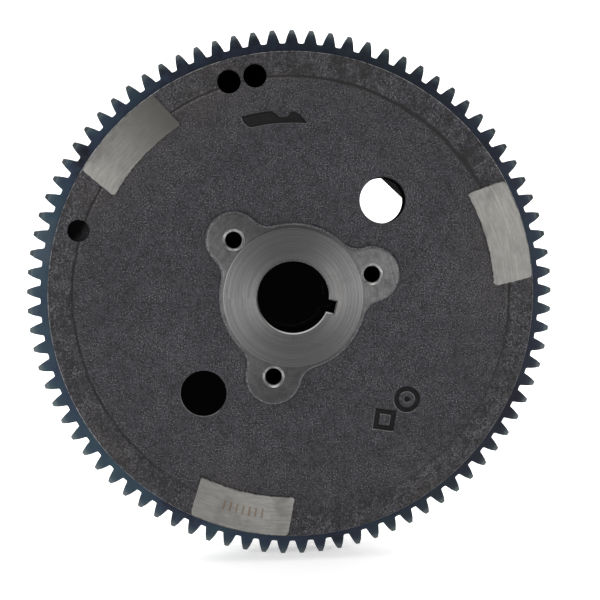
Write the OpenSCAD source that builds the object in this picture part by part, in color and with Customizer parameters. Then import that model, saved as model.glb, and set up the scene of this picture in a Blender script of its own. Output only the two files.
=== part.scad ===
// Small engine flywheel: an iron casting with a keyed hub, a shrunk-on starter ring gear,
// twelve alternator magnets in the rear cavity and an ignition magnet let into the rim.
// Drawn face up: X right, Y up, Z towards the front face, with Z = 0 at the ring gear's front
// face. upright() then stands it on edge, so that the spin axis is Y and the front faces -Y.

/* [Ring gear] */
// Number of starter teeth round the ring gear
teeth = 85; // [80:1:110]
// Gear module, the pitch diameter divided by the number of teeth
gear_module = 2.5; // [2.4:0.05:3.2]
// Width of the ring gear along the axis
gear_width = 12; // [9:0.5:16]
// Radial thickness of the ring gear below the tooth roots
gear_band = 4.7; // [4:0.1:7]
// Bevel on the front corner of the teeth, where the pinion slides in
tooth_bevel = 1.2; // [0.5:0.1:2.4]
// How much thinner each tooth is than half the pitch, for backlash
tooth_backlash = 0.3; // [0.1:0.05:0.5]

/* [Disc and rim] */
// Height of the cast disc face above the ring gear's front face
face_height = 9; // [4:0.5:14]
// Depth from the disc face to the rear of the rim
rim_depth = 44; // [40:1:60]
// Radial thickness of the rim between the gear seat and the magnets
rim_wall = 24.4; // [20:0.5:30]
// Thickness of the web between the hub and the rim
web_thickness = 10; // [6:0.5:13]
// Width of the slightly raised band at the edge of the disc face
margin_width = 9.4; // [5:0.2:14]
// Height of that band
margin_height = 0.4; // [0.2:0.1:1]
// Width of the shoulder behind the ring gear
shoulder_width = 3; // [2:0.5:5]
// Height of the shoulder above the gear seat
shoulder_step = 2.6; // [1:0.2:3.6]
// How far the rim behind the shoulder is turned down below the gear seat
rim_relief = 1.4; // [0.5:0.1:3]

/* [Hub] */
// Diameter of the crankshaft bore
bore_d = 29; // [20:0.5:36]
// Width of the keyway
key_width = 5; // [3:0.5:8]
// Depth of the keyway beyond the bore wall
key_depth = 3; // [1.5:0.1:4]
// Direction of the keyway, in degrees from +X
key_angle = -15; // [-180:1:180]
// Length of the hub from its front face to its rear face
hub_length = 37.5; // [26:0.5:44]
// Height of the turned hub face above the disc face
hub_height = 2.5; // [1:0.1:5]
// Diameter of the raised round part of the hub
hub_d = 59; // [50:0.5:62]
// Diameter of the turned ring on the hub face
turned_d = 56.4; // [44:0.2:58]
// How much lower the lobes are than the turned ring
lobe_drop = 0.3; // [0.1:0.1:0.6]
// End radius of the lobes round the tapped holes
lobe_r = 11; // [8:0.5:13]
// Radius of the hollow blend between a lobe and the round part
lobe_blend = 9; // [4:0.5:14]
// Direction of the first lobe, in degrees from +X
lobe_angle = 15; // [0:1:119]
// Pitch circle diameter of the tapped holes
bolt_circle_d = 66.4; // [60:0.2:70]
// Diameter of the tapped holes
tap_d = 6.8; // [4:0.1:8.5]
// Full-diameter depth of the tapped holes
tap_depth = 16; // [10:0.5:17]
// Diameter of the countersink at the mouth of a tapped hole
tap_sink_d = 8.8; // [5:0.1:10.5]
// Diameter of the thick flange on the rear of the hub
flange_d = 85; // [82:0.5:86]
// How far that flange stands behind the web
flange_height = 9; // [8:0.5:12]
// Diameter of the hub behind the flange
rear_hub_d = 50; // [44:0.5:56]

/* [Holes in the disc] */
// Diameter of the two round holes through the web
web_hole_d = 18.6; // [10:0.2:18.8]
// Pitch circle diameter of the web holes
web_hole_circle_d = 106.8; // [106:0.2:107.4]
// Direction of the first web hole, in degrees from +X
web_hole_angle = 46; // [0:1:179]
// Diameter of the drilled balance holes
balance_d = 9.3; // [5:0.1:9.8]
// Depth of the balance holes
balance_depth = 20; // [4:1:24]
// Distance of the balance holes and the drill spot from the disc edge
balance_inset = 8.6; // [7.5:0.1:11]
// Directions of the balance holes, in degrees from +X
balance_angles = [105.4, 98.6];
// Direction of the shallow drill spot, in degrees from +X
spot_angle = 161.6; // [120:0.2:240]
// Diameter of the shallow drill spot
spot_d = 8.8; // [5:0.1:9.8]

/* [Pads and cast marks] */
// Direction of the first machined pad, in degrees from +X
pad_angle = 15.6; // [0:0.2:119]
// Width of a pad at the disc edge
pad_width = 41.8; // [20:0.2:46]
// Width of a pad at its inner end
pad_inner_width = 39.4; // [20:0.2:46]
// Radial length of a pad
pad_length = 16; // [8:0.5:18]
// Height of the pads above the disc face
pad_height = 1; // [0.6:0.1:2]
// Depth of the arrow and the foundry marks
mark_depth = 0.8; // [0.3:0.1:1.5]
// Radius of the lower edge of the rotation arrow
arrow_r = 70; // [68:0.5:72]
// Radius on which the two foundry marks are centred
foundry_mark_r = 63; // [61:0.5:64]
// Directions of the two foundry marks, in degrees from +X
foundry_mark_angles = [316.7, 305.4];
// Outer radius of the foundry marks
foundry_mark_size = 5.3; // [3:0.1:5.5]
// Line width of the foundry marks
foundry_mark_line = 1.9; // [1:0.1:2.4]

/* [Alternator magnets] */
// Radial thickness of a magnet at its middle
magnet_thickness = 10; // [7:0.1:10.3]
// Width of the flat inner face of a magnet
magnet_width = 27; // [20:0.5:29]
// Length of a magnet along the axis
magnet_length = 22.5; // [16:0.5:23]
// Direction of the first magnet, in degrees from +X
magnet_angle = 16; // [0:1:29]
// Thickness of the ring that joins the posts of the magnet cage
cage_ring = 1.5; // [1:0.1:2]
// Inset of the cage posts from the inner faces of the magnets
cage_inset = 1.2; // [0.5:0.1:3]
// Clearance between a magnet and the cage
cage_gap = 0.15; // [0.05:0.05:0.4]
// Thickness of the magnet retaining ring
ring_thickness = 2; // [1.5:0.1:3]
// How far the retaining ring covers the rear of the magnets
ring_cover = 6.5; // [3:0.5:7]
// Radial width of the ledge that the retaining ring is screwed to
ledge_width = 8; // [7.5:0.5:9]
// Number of retaining ring screws
ring_screws = 6; // [3:1:8]

/* [Ignition magnet] */
// Direction of the ignition magnet, in degrees from +X
ignition_angle = 282; // [0:1:359]
// Width of the ignition magnet round the rim
ignition_magnet_width = 15; // [10:0.5:18]
// Width of each pole shoe round the rim
shoe_width = 13; // [10:0.5:15]
// Radial depth of the pocket for the magnet and its shoes
pocket_depth = 10; // [8:0.5:11]
// Length of the pocket along the axis
pocket_length = 14; // [10:0.5:15]
// Distance from the rear of the rim to the pocket
pocket_setback = 4; // [3:0.5:5]

/* [Hidden] */
$fn = 96;
pole_count = 12;
slip = 0.05;
cut = 1;
pressure_angle = 20;
drill_point = 59;
pitch_r = teeth * gear_module / 2;
tip_r = pitch_r + gear_module;
root_r = pitch_r - 1.25 * gear_module;
base_r = pitch_r * cos(pressure_angle);
seat_r = root_r - gear_band;
shoulder_r = seat_r + shoulder_step;
rim_r = seat_r - rim_relief;
rim_bore_r = seat_r - rim_wall;
magnet_face_r = rim_bore_r - magnet_thickness;
ledge_r = rim_bore_r + ledge_width;
rear_z = face_height - rim_depth;
web_rear_z = face_height - web_thickness;
seat_lip = 3;
magnet_seat_z = web_rear_z - seat_lip;
magnet_seat_r = magnet_face_r - 1;
magnet_front_z = magnet_seat_z - cage_ring;
magnet_rear_z = magnet_front_z - magnet_length;
ring_rear_z = magnet_rear_z - ring_thickness;
hub_z = face_height + hub_height;
lobe_z = hub_z - lobe_drop;
hub_rear_z = hub_z - hub_length;
flange_z = web_rear_z - flange_height;
bolt_circle_r = bolt_circle_d / 2;
web_hole_circle_r = web_hole_circle_d / 2;
balance_r = seat_r - balance_inset;
pad_inner_r = seat_r - pad_length - 0.5;
pad_outer_r = seat_r - 0.4;
edge_chamfer = 1;
bore_chamfer = 0.6;
casting_fillet = 1.4;
ring_screw_r = rim_bore_r + ledge_width / 2;
ring_screw_d = 4;
ring_screw_length = 9;
pocket_z = rear_z + pocket_setback;
pocket_mid_z = pocket_z + pocket_length / 2;
pocket_floor_r = rim_r - pocket_depth;
pocket_width = ignition_magnet_width + 2 * shoe_width + 4 * slip;
shoe_screw_d = 4;
shoe_screw_head_d = 7.6;
screw_clearance = 1;
shoe_screw_depth = pocket_floor_r - ring_screw_r - ring_screw_d / 2 - screw_clearance;
shoe_offset = ignition_magnet_width / 2 + slip + shoe_width / 2;
iron_colour = [0.24, 0.24, 0.26];
magnet_names = [for (k = [1:pole_count]) str("alternator_magnet_", k)];

// Point at radius r and direction a, in degrees from +X.
function at(r, a) = [r * cos(a), r * sin(a)];

// Stands the face-up drawing on edge, with the front towards -Y.
module upright() {
    rotate([90, 0, 0]) children();
}

// Ring with its lower face at z.
module ring(outer_r, inner_r, z, height) {
    translate([0, 0, z]) difference() {
        cylinder(h = height, r = outer_r);
        translate([0, 0, -cut]) cylinder(h = height + 2 * cut, r = inner_r);
    }
}

// Blind hole drilled from z downwards, with a pointed end.
module drilled(r, z, depth) {
    point = r / tan(drill_point);
    translate([0, 0, z - depth]) cylinder(h = depth + cut, r = r);
    translate([0, 0, z - depth - point]) cylinder(h = point, r1 = 0, r2 = r);
}

// ---- starter ring gear ----

// Involute function of the angle whose cosine is base radius over r, in degrees.
function involute(r) = let (a = acos(base_r / r)) tan(a) * 180 / PI - a;

// Half the angle that a tooth takes at radius r.
function half_tooth(r) =
    (PI * gear_module / 2 - tooth_backlash) / 2 / pitch_r * 180 / PI + involute(pitch_r) - involute(r);

// One tooth's outline, from the middle of the gap before it to its trailing root.
function tooth(a) = let (
    flank_r = root_r + 0.36 * gear_module,
    nose_r = tip_r - 0.14 * gear_module,
    floor_r = root_r + 0.1 * gear_module,
    flank = half_tooth(flank_r),
    foot = flank + 0.1 * 360 / teeth,
    nose = half_tooth(nose_r),
    crown = half_tooth(tip_r) * 0.7
) [
    at(root_r, a - 180 / teeth),
    at(floor_r, a - foot),
    at(flank_r, a - flank),
    at(nose_r, a - nose),
    at(tip_r, a - crown),
    at(tip_r, a + crown),
    at(nose_r, a + nose),
    at(flank_r, a + flank),
    at(floor_r, a + foot)
];

// Turned outline that bevels the front corner of the teeth.
module gear_blank() {
    rotate_extrude() polygon([
        [0, -gear_width],
        [tip_r - 0.4, -gear_width],
        [tip_r + 0.1, -gear_width + 0.5],
        [tip_r + 0.1, -tooth_bevel],
        [tip_r - 1.5 * tooth_bevel, 0],
        [0, 0]
    ]);
}

module starter_ring_gear() {
    color([0.16, 0.2, 0.27]) upright() difference() {
        intersection() {
            translate([0, 0, -gear_width]) linear_extrude(height = gear_width)
                polygon([for (k = [0:teeth - 1]) each tooth(k * 360 / teeth)]);
            gear_blank();
        }
        translate([0, 0, -gear_width - cut]) cylinder(h = gear_width + 2 * cut, r = seat_r + slip / 2);
    }
}

// ---- flywheel casting ----

// Half section of the turned and cast body, before the lobes, pads and holes.
module body_section() {
    f = casting_fillet;
    polygon([
        [0, face_height],
        [seat_r - margin_width, face_height],
        [seat_r - margin_width + margin_height, face_height + margin_height],
        [seat_r - edge_chamfer, face_height + margin_height],
        [seat_r, face_height + margin_height - edge_chamfer],
        [seat_r, -gear_width],
        [shoulder_r, -gear_width],
        [shoulder_r, -gear_width - shoulder_width],
        [rim_r, -gear_width - shoulder_width - (shoulder_r - rim_r)],
        [rim_r, rear_z + edge_chamfer],
        [rim_r - edge_chamfer, rear_z],
        [ledge_r + edge_chamfer, rear_z],
        [ledge_r, rear_z + edge_chamfer],
        [ledge_r, magnet_rear_z],
        [rim_bore_r, magnet_rear_z],
        [rim_bore_r, magnet_seat_z],
        [magnet_seat_r, magnet_seat_z],
        [magnet_seat_r - 0.2, web_rear_z],
        [flange_d / 2 + f, web_rear_z],
        [flange_d / 2, web_rear_z - f],
        [flange_d / 2, flange_z + f],
        [flange_d / 2 - f, flange_z],
        [rear_hub_d / 2 + f, flange_z],
        [rear_hub_d / 2, flange_z - f],
        [rear_hub_d / 2, hub_rear_z + f],
        [rear_hub_d / 2 - f, hub_rear_z],
        [0, hub_rear_z]
    ]);
}

// Hollow blend on one side of a lobe: a corner filled between the hub and the lobe, then cut
// by the circle that touches both.
module lobe_fillet(side) {
    hub_reach = hub_d / 2 + lobe_blend;
    lobe_reach = lobe_r + lobe_blend;
    swing = acos((hub_reach ^ 2 + bolt_circle_r ^ 2 - lobe_reach ^ 2) / (2 * hub_reach * bolt_circle_r));
    blend_centre = at(hub_reach, side * swing);
    difference() {
        polygon([[0, 0], [bolt_circle_r, 0], blend_centre]);
        translate(blend_centre) circle(r = lobe_blend);
    }
}

module hub_outline() {
    circle(d = hub_d);
    for (k = [0:2]) rotate(lobe_angle + 120 * k) {
        translate([bolt_circle_r, 0]) circle(r = lobe_r);
        lobe_fillet(1);
        lobe_fillet(-1);
    }
}

// Three pads with nearly parallel sides, ending on a circle inside and at the disc edge outside.
module pad_outline() {
    intersection() {
        difference() {
            circle(r = pad_outer_r);
            circle(r = pad_inner_r);
        }
        for (k = [0:2]) rotate(pad_angle + 120 * k) polygon([
            [pad_inner_r - 4, -pad_inner_width / 2],
            [seat_r + 4, -pad_width / 2],
            [seat_r + 4, pad_width / 2],
            [pad_inner_r - 4, pad_inner_width / 2]
        ]);
    }
}

// Rotation arrow: a broad curved tail, a narrow neck and a pointed head, bent round the disc.
module arrow_outline() {
    function arc(r, from, to, steps) = [for (i = [0:steps]) at(r, from + (to - from) * i / steps)];
    polygon(concat(
        arc(arrow_r, 84.2, 102.6, 12),
        [at(arrow_r + 0.6, 103.6), at(arrow_r + 2.5, 104.7)],
        arc(arrow_r + 5, 104.9, 95.6, 7),
        [at(arrow_r + 4.2, 94.7), at(arrow_r + 2.6, 93.4)],
        arc(arrow_r + 2.1, 92.9, 90.7, 2),
        [at(arrow_r + 3.6, 89.9), at(arrow_r + 4.3, 89.2), at(arrow_r + 4.2, 88.1), at(arrow_r + 2.9, 86.4)]
    ));
}

// Ring with a dot in it.
module ring_mark() {
    difference() {
        circle(r = foundry_mark_size);
        circle(r = foundry_mark_size - foundry_mark_line);
    }
    circle(r = foundry_mark_line * 0.6);
}

// Open square standing on its corner.
module diamond_mark() {
    rotate(45) difference() {
        square(foundry_mark_size * 1.6, center = true);
        square(foundry_mark_size * 1.6 - 2 * foundry_mark_line, center = true);
    }
}

module cast_marks() {
    translate([0, 0, face_height - mark_depth]) linear_extrude(height = mark_depth + cut) {
        arrow_outline();
        translate(at(foundry_mark_r, foundry_mark_angles[0])) ring_mark();
        translate(at(foundry_mark_r, foundry_mark_angles[1]))
            rotate(foundry_mark_angles[1] - 90) diamond_mark();
    }
}

module crank_bore() {
    translate([0, 0, hub_rear_z - cut]) cylinder(h = hub_length + 2 * cut, d = bore_d);
    translate([0, 0, hub_z - bore_chamfer])
        cylinder(h = bore_chamfer, d1 = bore_d, d2 = bore_d + 2 * bore_chamfer);
    translate([0, 0, hub_rear_z]) cylinder(h = bore_chamfer, d1 = bore_d + 2 * bore_chamfer, d2 = bore_d);
    rotate(key_angle) translate([0, -key_width / 2, hub_rear_z - cut])
        cube([bore_d / 2 + key_depth, key_width, hub_length + 2 * cut]);
}

module tapped_holes() {
    sink = (tap_sink_d - tap_d) / 2;
    for (k = [0:2]) rotate(lobe_angle + 120 * k) translate([bolt_circle_r, 0, 0]) {
        drilled(tap_d / 2, lobe_z, tap_depth);
        translate([0, 0, lobe_z - sink]) cylinder(h = sink, d1 = tap_d, d2 = tap_sink_d);
    }
}

module web_holes() {
    for (k = [0, 1]) rotate(web_hole_angle + 180 * k) translate([web_hole_circle_r, 0, magnet_seat_z - cut])
        cylinder(h = web_thickness + seat_lip + 2 * cut, d = web_hole_d);
}

module balance_holes() {
    for (a = balance_angles) rotate(a) translate([balance_r, 0, 0])
        drilled(balance_d / 2, face_height + margin_height, balance_depth);
    rotate(spot_angle) translate([balance_r, 0, 0])
        drilled(spot_d / 2, face_height + margin_height, margin_height + 0.6);
}

// Pocket in the outside of the rim for the ignition magnet and its pole shoes.
module ignition_pocket() {
    rotate(ignition_angle) translate([pocket_floor_r, -pocket_width / 2, pocket_z])
        cube([pocket_depth + 2 * cut, pocket_width, pocket_length]);
    for (side = [-1, 1]) at_shoe(side) translate([0, 0, -shoe_screw_depth])
        cylinder(h = shoe_screw_depth + cut, d = shoe_screw_d);
}

// Places children on the pocket floor under a pole shoe, with +Z pointing out of the rim.
module at_shoe(side) {
    rotate(ignition_angle) translate([pocket_floor_r, side * shoe_offset, pocket_mid_z])
        rotate([0, 90, 0]) children();
}

// Places children at each retaining ring screw, on the ledge, with +Z towards the front.
module at_ring_screws() {
    for (k = [0:ring_screws - 1]) rotate((k + 0.5) * 360 / ring_screws)
        translate([ring_screw_r, 0, magnet_rear_z]) children();
}

module flywheel_casting() {
    color(iron_colour) upright() difference() {
        union() {
            rotate_extrude() body_section();
            translate([0, 0, face_height - cut]) linear_extrude(height = lobe_z - face_height + cut)
                hub_outline();
            translate([0, 0, face_height - cut]) cylinder(h = hub_height + cut, d = turned_d);
            translate([0, 0, face_height - cut]) linear_extrude(height = pad_height + cut) pad_outline();
        }
        crank_bore();
        tapped_holes();
        web_holes();
        balance_holes();
        cast_marks();
        ignition_pocket();
        at_ring_screws() translate([0, 0, -cut]) cylinder(h = ring_screw_length + cut, d = ring_screw_d);
    }
}

// ---- alternator magnets and what holds them ----

// Block with a flat inner face and a back that follows the rim bore.
module magnet_outline(clearance) {
    intersection() {
        circle(r = rim_bore_r - slip);
        translate([magnet_face_r, -magnet_width / 2 - clearance])
            square([magnet_thickness + cut, magnet_width + 2 * clearance]);
    }
}

module alternator_magnet(k) {
    color([0.2, 0.2, 0.21]) upright() rotate(magnet_angle + (k - 1) * 360 / pole_count)
        translate([0, 0, magnet_rear_z]) linear_extrude(height = magnet_length) magnet_outline(0);
}

// Moulded cage: a flat ring under the magnets and a post between each pair.
module magnet_cage() {
    inner_r = magnet_face_r + cage_inset;
    color([0.12, 0.12, 0.13]) upright() {
        ring(rim_bore_r - slip, inner_r, magnet_front_z, cage_ring);
        translate([0, 0, magnet_rear_z]) linear_extrude(height = magnet_length) difference() {
            circle(r = rim_bore_r - slip);
            circle(r = inner_r + cage_inset);
            for (k = [1:pole_count]) rotate(magnet_angle + k * 360 / pole_count)
                translate([0, -magnet_width / 2 - cage_gap])
                    square([rim_bore_r + cut, magnet_width + 2 * cage_gap]);
        }
    }
}

module magnet_retaining_ring() {
    color([0.62, 0.62, 0.6]) upright() difference() {
        ring(ledge_r - 4 * slip, rim_bore_r - ring_cover, ring_rear_z, ring_thickness);
        at_ring_screws() translate([0, 0, -ring_thickness - cut])
            cylinder(h = ring_thickness + 2 * cut, d = ring_screw_d + 0.5);
    }
}

module retaining_ring_washers() {
    color([0.5, 0.5, 0.5]) upright() at_ring_screws() translate([0, 0, -ring_thickness - 1]) difference() {
        cylinder(h = 1, d = 1.75 * ring_screw_d);
        translate([0, 0, -cut]) cylinder(h = 1 + 2 * cut, d = ring_screw_d + 0.3);
    }
}

// Cheese head screws with a cross recess, through the washers and the ring into the ledge.
module retaining_ring_screws() {
    head_height = 2.2;
    head_z = -ring_thickness - 1 - head_height;
    color([0.66, 0.64, 0.58]) upright() at_ring_screws() difference() {
        union() {
            translate([0, 0, head_z]) cylinder(h = head_height, d = 1.6 * ring_screw_d);
            translate([0, 0, head_z]) cylinder(h = ring_screw_length - 0.5 - head_z, d = ring_screw_d - 2 * slip);
        }
        for (turn = [0, 90]) rotate(turn) translate([-1.9, -0.4, head_z - cut]) cube([3.8, 0.8, 1.3 + cut]);
    }
}

// ---- ignition magnet ----

// Slice of the rim, from one distance across the pocket to another.
module pocket_slice(from, to) {
    rotate(ignition_angle) intersection() {
        translate([pocket_floor_r, from, pocket_z + slip])
            cube([pocket_depth + cut, to - from, pocket_length - 2 * slip]);
        translate([0, 0, pocket_z]) cylinder(h = pocket_length, r = rim_r - slip);
    }
}

module ignition_magnet() {
    color([0.3, 0.3, 0.32]) upright() pocket_slice(-ignition_magnet_width / 2, ignition_magnet_width / 2);
}

// Pole shoe with a countersunk hole for its screw.
module pole_shoe(side) {
    near = ignition_magnet_width / 2 + slip;
    far = near + shoe_width;
    sink = (shoe_screw_head_d - shoe_screw_d) / 2;
    color([0.45, 0.45, 0.46]) upright() difference() {
        pocket_slice(side > 0 ? near : -far, side > 0 ? far : -near);
        at_shoe(side) translate([0, 0, -cut]) cylinder(h = pocket_depth + 3 * cut, d = shoe_screw_d + 0.3);
        at_shoe(side) translate([0, 0, shoe_screw_seat()]) {
            cylinder(h = sink, d1 = shoe_screw_d, d2 = shoe_screw_head_d);
            translate([0, 0, sink]) cylinder(h = pocket_depth, d = shoe_screw_head_d);
        }
    }
}

// Height above the pocket floor at which the screws' countersinks start.
function shoe_screw_seat() = pocket_depth - 4.6;

module pole_shoe_screws() {
    sink = (shoe_screw_head_d - shoe_screw_d) / 2;
    color([0.66, 0.64, 0.58]) upright() for (side = [-1, 1]) at_shoe(side) difference() {
        union() {
            translate([0, 0, -shoe_screw_depth + 0.3])
                cylinder(h = shoe_screw_depth + shoe_screw_seat(), d = shoe_screw_d - 2 * slip);
            translate([0, 0, shoe_screw_seat()])
                cylinder(h = sink, d1 = shoe_screw_d - 2 * slip, d2 = shoe_screw_head_d - 2 * slip);
        }
        translate([-0.5, -shoe_screw_head_d, shoe_screw_seat() + sink - 1])
            cube([1, 2 * shoe_screw_head_d, 2]);
    }
}

flywheel_casting();
starter_ring_gear();
for (k = [1:pole_count]) alternator_magnet(k);
magnet_cage();
magnet_retaining_ring();
retaining_ring_screws();
retaining_ring_washers();
ignition_magnet();
pole_shoe(1);  // leading_pole_shoe
pole_shoe(-1);  // trailing_pole_shoe
pole_shoe_screws();
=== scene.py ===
"""Looks of a small engine flywheel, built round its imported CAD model.

Everything is worked out in millimetres in a face-up drawing, with X right, Y up and Z towards
the front face, and put() stands it on edge in metres: (x, y, z) becomes (x, -z, y).
"""

import math
import bpy
import bmesh
import numpy as np
from mathutils import Matrix, Vector


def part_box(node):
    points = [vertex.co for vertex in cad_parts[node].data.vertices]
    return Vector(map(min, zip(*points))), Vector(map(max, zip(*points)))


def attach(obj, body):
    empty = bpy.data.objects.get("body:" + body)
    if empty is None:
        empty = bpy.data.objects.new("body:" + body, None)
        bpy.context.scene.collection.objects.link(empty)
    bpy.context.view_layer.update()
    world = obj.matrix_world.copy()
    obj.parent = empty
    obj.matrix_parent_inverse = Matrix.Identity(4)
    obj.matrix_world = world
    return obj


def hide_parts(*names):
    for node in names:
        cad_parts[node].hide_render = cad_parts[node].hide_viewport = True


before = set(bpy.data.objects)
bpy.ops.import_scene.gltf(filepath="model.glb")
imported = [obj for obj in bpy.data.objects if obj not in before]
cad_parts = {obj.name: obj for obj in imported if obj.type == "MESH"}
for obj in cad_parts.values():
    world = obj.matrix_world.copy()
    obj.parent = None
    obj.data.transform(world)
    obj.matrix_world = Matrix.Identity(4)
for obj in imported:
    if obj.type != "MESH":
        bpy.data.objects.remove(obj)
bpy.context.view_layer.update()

bl_info = {
    "name": "Engine flywheel",
    "version": (1, 0, 0),
    "blender": (4, 5, 0),
    "location": "3D View > Sidebar > Flywheel",
    "description": "Detailed surfaces and finishes for a flywheel with a starter ring gear",
    "category": "Object",
}

MAGNETS = sorted(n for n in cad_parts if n.startswith("alternator_magnet_"))
MM = 1000.0


def extent(node, axis):
    """Smallest and largest coordinate of a CAD node along an axis of the row frame, in millimetres."""
    low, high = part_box(node)
    return low[axis] * MM, high[axis] * MM


# ---- sizes that the pieces share: millimetres, and degrees from the X axis ----

TEETH = 85
MODULE = 2.5
TIP_R = TEETH * MODULE / 2 + MODULE
ROOT_R = TIP_R - 2.25 * MODULE
GEAR_REAR = -extent("starter_ring_gear", 1)[1]
SEAT_R = 98.425
EDGE_R = 97.925  # where the disc's face starts to round off

HUB_TOP = -extent("flywheel_casting", 1)[0]
HUB_REAR = -26.0
HUB_R = 29.5
TURNED_R = 28.2
BORE_R = 14.5
KEY = (-15.0, 2.5, 17.5)  # its direction, half its width and its floor's distance
LOBES = (15.0, 135.0, 255.0)
LOBE_TOP = HUB_TOP - 0.3
LOBE_R = 11.0
BLEND_R = 9.0
BLEND_TURN = 18.75  # from a lobe's middle to its blends
BOLT_R = 33.2
TAP_R = 3.4
TAP_SINK_R = 4.4
TAP_DEPTH = 16.0
THREAD_STEP = 0.3  # a quarter of its pitch
THREAD_DEPTH = 0.26
DRILL_POINT = 59.0  # half the angle of a drilled hole's point

FACE = HUB_TOP - 2.5
MARGIN = 0.4
MARGIN_R = 89.025
PADS = (15.6, 135.6, 255.6)
PAD_TOP = FACE + 1.0
PAD_R = (81.925, 98.025)
PAD_HALF = 19.7  # half a pad's width, 77.925 out from the middle
PAD_HALF_AT = 77.925
PAD_SPREAD = 0.049
PAD_TURN = 13.0  # about half the angle that a pad spans

WEB_HOLES = (46.0, 226.0)
WEB_HOLE_R = 9.3
WEB_HOLE_AT = 53.4
WEB_REAR = -1.0
BALANCE = (98.6, 105.4)
BALANCE_R = 4.65
BALANCE_AT = 89.825
BALANCE_DEPTH = 20.0
SPOT = 161.6
SPOT_R = 4.4
MARK_DEPTH = 0.8
MARKS = (316.7, 305.4)
MARKS_AT = 63.0
MARKED = (55.0, 79.0)  # the band of radii that holds the arrow and the marks

RIM_REAR = -extent("flywheel_casting", 1)[1]
RIM_R = 97.025
SHOULDER_R = 101.025
RIM_BORE_R = 82.025
MAGNET_SEAT_R = 74.025
CAVITY_R = 63.025
BOSS_R = 42.5
FLANGE_R = 25.0
INSERT = 282.0
INSERT_HALF = 20.6
INSERT_FLOOR = 87.025
INSERT_Z = (-17.0, -31.0)
MAGNET_FACE = 64.025
MAGNET_BACK = 73.975
MAGNET_HALF = 13.5
MAGNET_Z = (-28.0, -5.5)
MAGNET_TURN = (16.0, 30.0)  # the first magnet's direction, and the step to the next
RING_R = (67.525, 81.825)
RING_Z = (-30.0, -28.0)
RING_SCREW_R = 78.025
WASHER_R = (2.15, 3.5)
WASHER_Z = (-31.0, -30.0)


# ---- arrays and meshes ----


def put(points):
    """Stands face-up millimetres on edge in the row frame: (x, y, z) becomes (x, -z, y) / 1000."""
    return np.stack([points[..., 0], -points[..., 2], points[..., 1]], -1) / MM


def polar(radius, degrees, z):
    """Points at a radius, an angle and a height, with the three arrays broadcast together."""
    radius, degrees, z = np.broadcast_arrays(radius, degrees, z)
    turn = np.radians(degrees)
    return np.stack([radius * np.cos(turn), radius * np.sin(turn), z], -1).astype(float)


def apart(a, b, span=360.0):
    """Signed angle from b to a, where b stands for all the directions that lie span apart."""
    return (a - b + span / 2) % span - span / 2


def smooth(value, start, end):
    """Rises from 0 at start to 1 at end along t*t*(3 - 2t)."""
    t = np.clip((value - start) / (end - start), 0, 1)
    return t * t * (3 - 2 * t)


def round_corners(points, reach, steps=4, closed=False):
    """Replaces each corner of a line by a curve between the points that lie reach before and after
    it: a quadratic curve pulled towards the corner. A reach of 0 keeps the corner."""
    points = np.asarray(points, float)
    reach = np.asarray(reach, float)[:, None]
    back = np.roll(points, 1, 0) - points
    ahead = np.roll(points, -1, 0) - points
    back /= np.maximum(np.linalg.norm(back, axis=1, keepdims=True), 1e-9)
    ahead /= np.maximum(np.linalg.norm(ahead, axis=1, keepdims=True), 1e-9)
    if not closed:
        reach = reach * np.r_[0, np.ones(len(points) - 2), 0][:, None]
    t = np.linspace(0, 1, steps + 1)[None, :, None]
    line = (
        (1 - t) ** 2 * (points + back * reach)[:, None]
        + 2 * t * (1 - t) * points[:, None]
        + t**2 * (points + ahead * reach)[:, None]
    ).reshape(-1, points.shape[1])
    keep = np.linalg.norm(line - np.roll(line, 1, 0), axis=1) > 1e-5
    keep[0] = True
    return line[keep]


def densify(line, step):
    """Adds points every step millimetres along a line and keeps its own."""
    length = np.r_[0, np.cumsum(np.linalg.norm(np.diff(line, axis=0), axis=1))]
    extra = np.arange(step, length[-1], step)
    nearest = np.abs(extra[:, None] - length[None]).min(1)
    stations = np.sort(np.r_[length, extra[nearest > 0.3 * step]])
    return np.stack([np.interp(stations, length, line[:, k]) for k in range(line.shape[1])], -1)


def new_object(name, data):
    """An object for a mesh, a light or a camera, linked to the scene."""
    thing = bpy.data.objects.new(name, data)
    bpy.context.scene.collection.objects.link(thing)
    return thing


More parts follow.
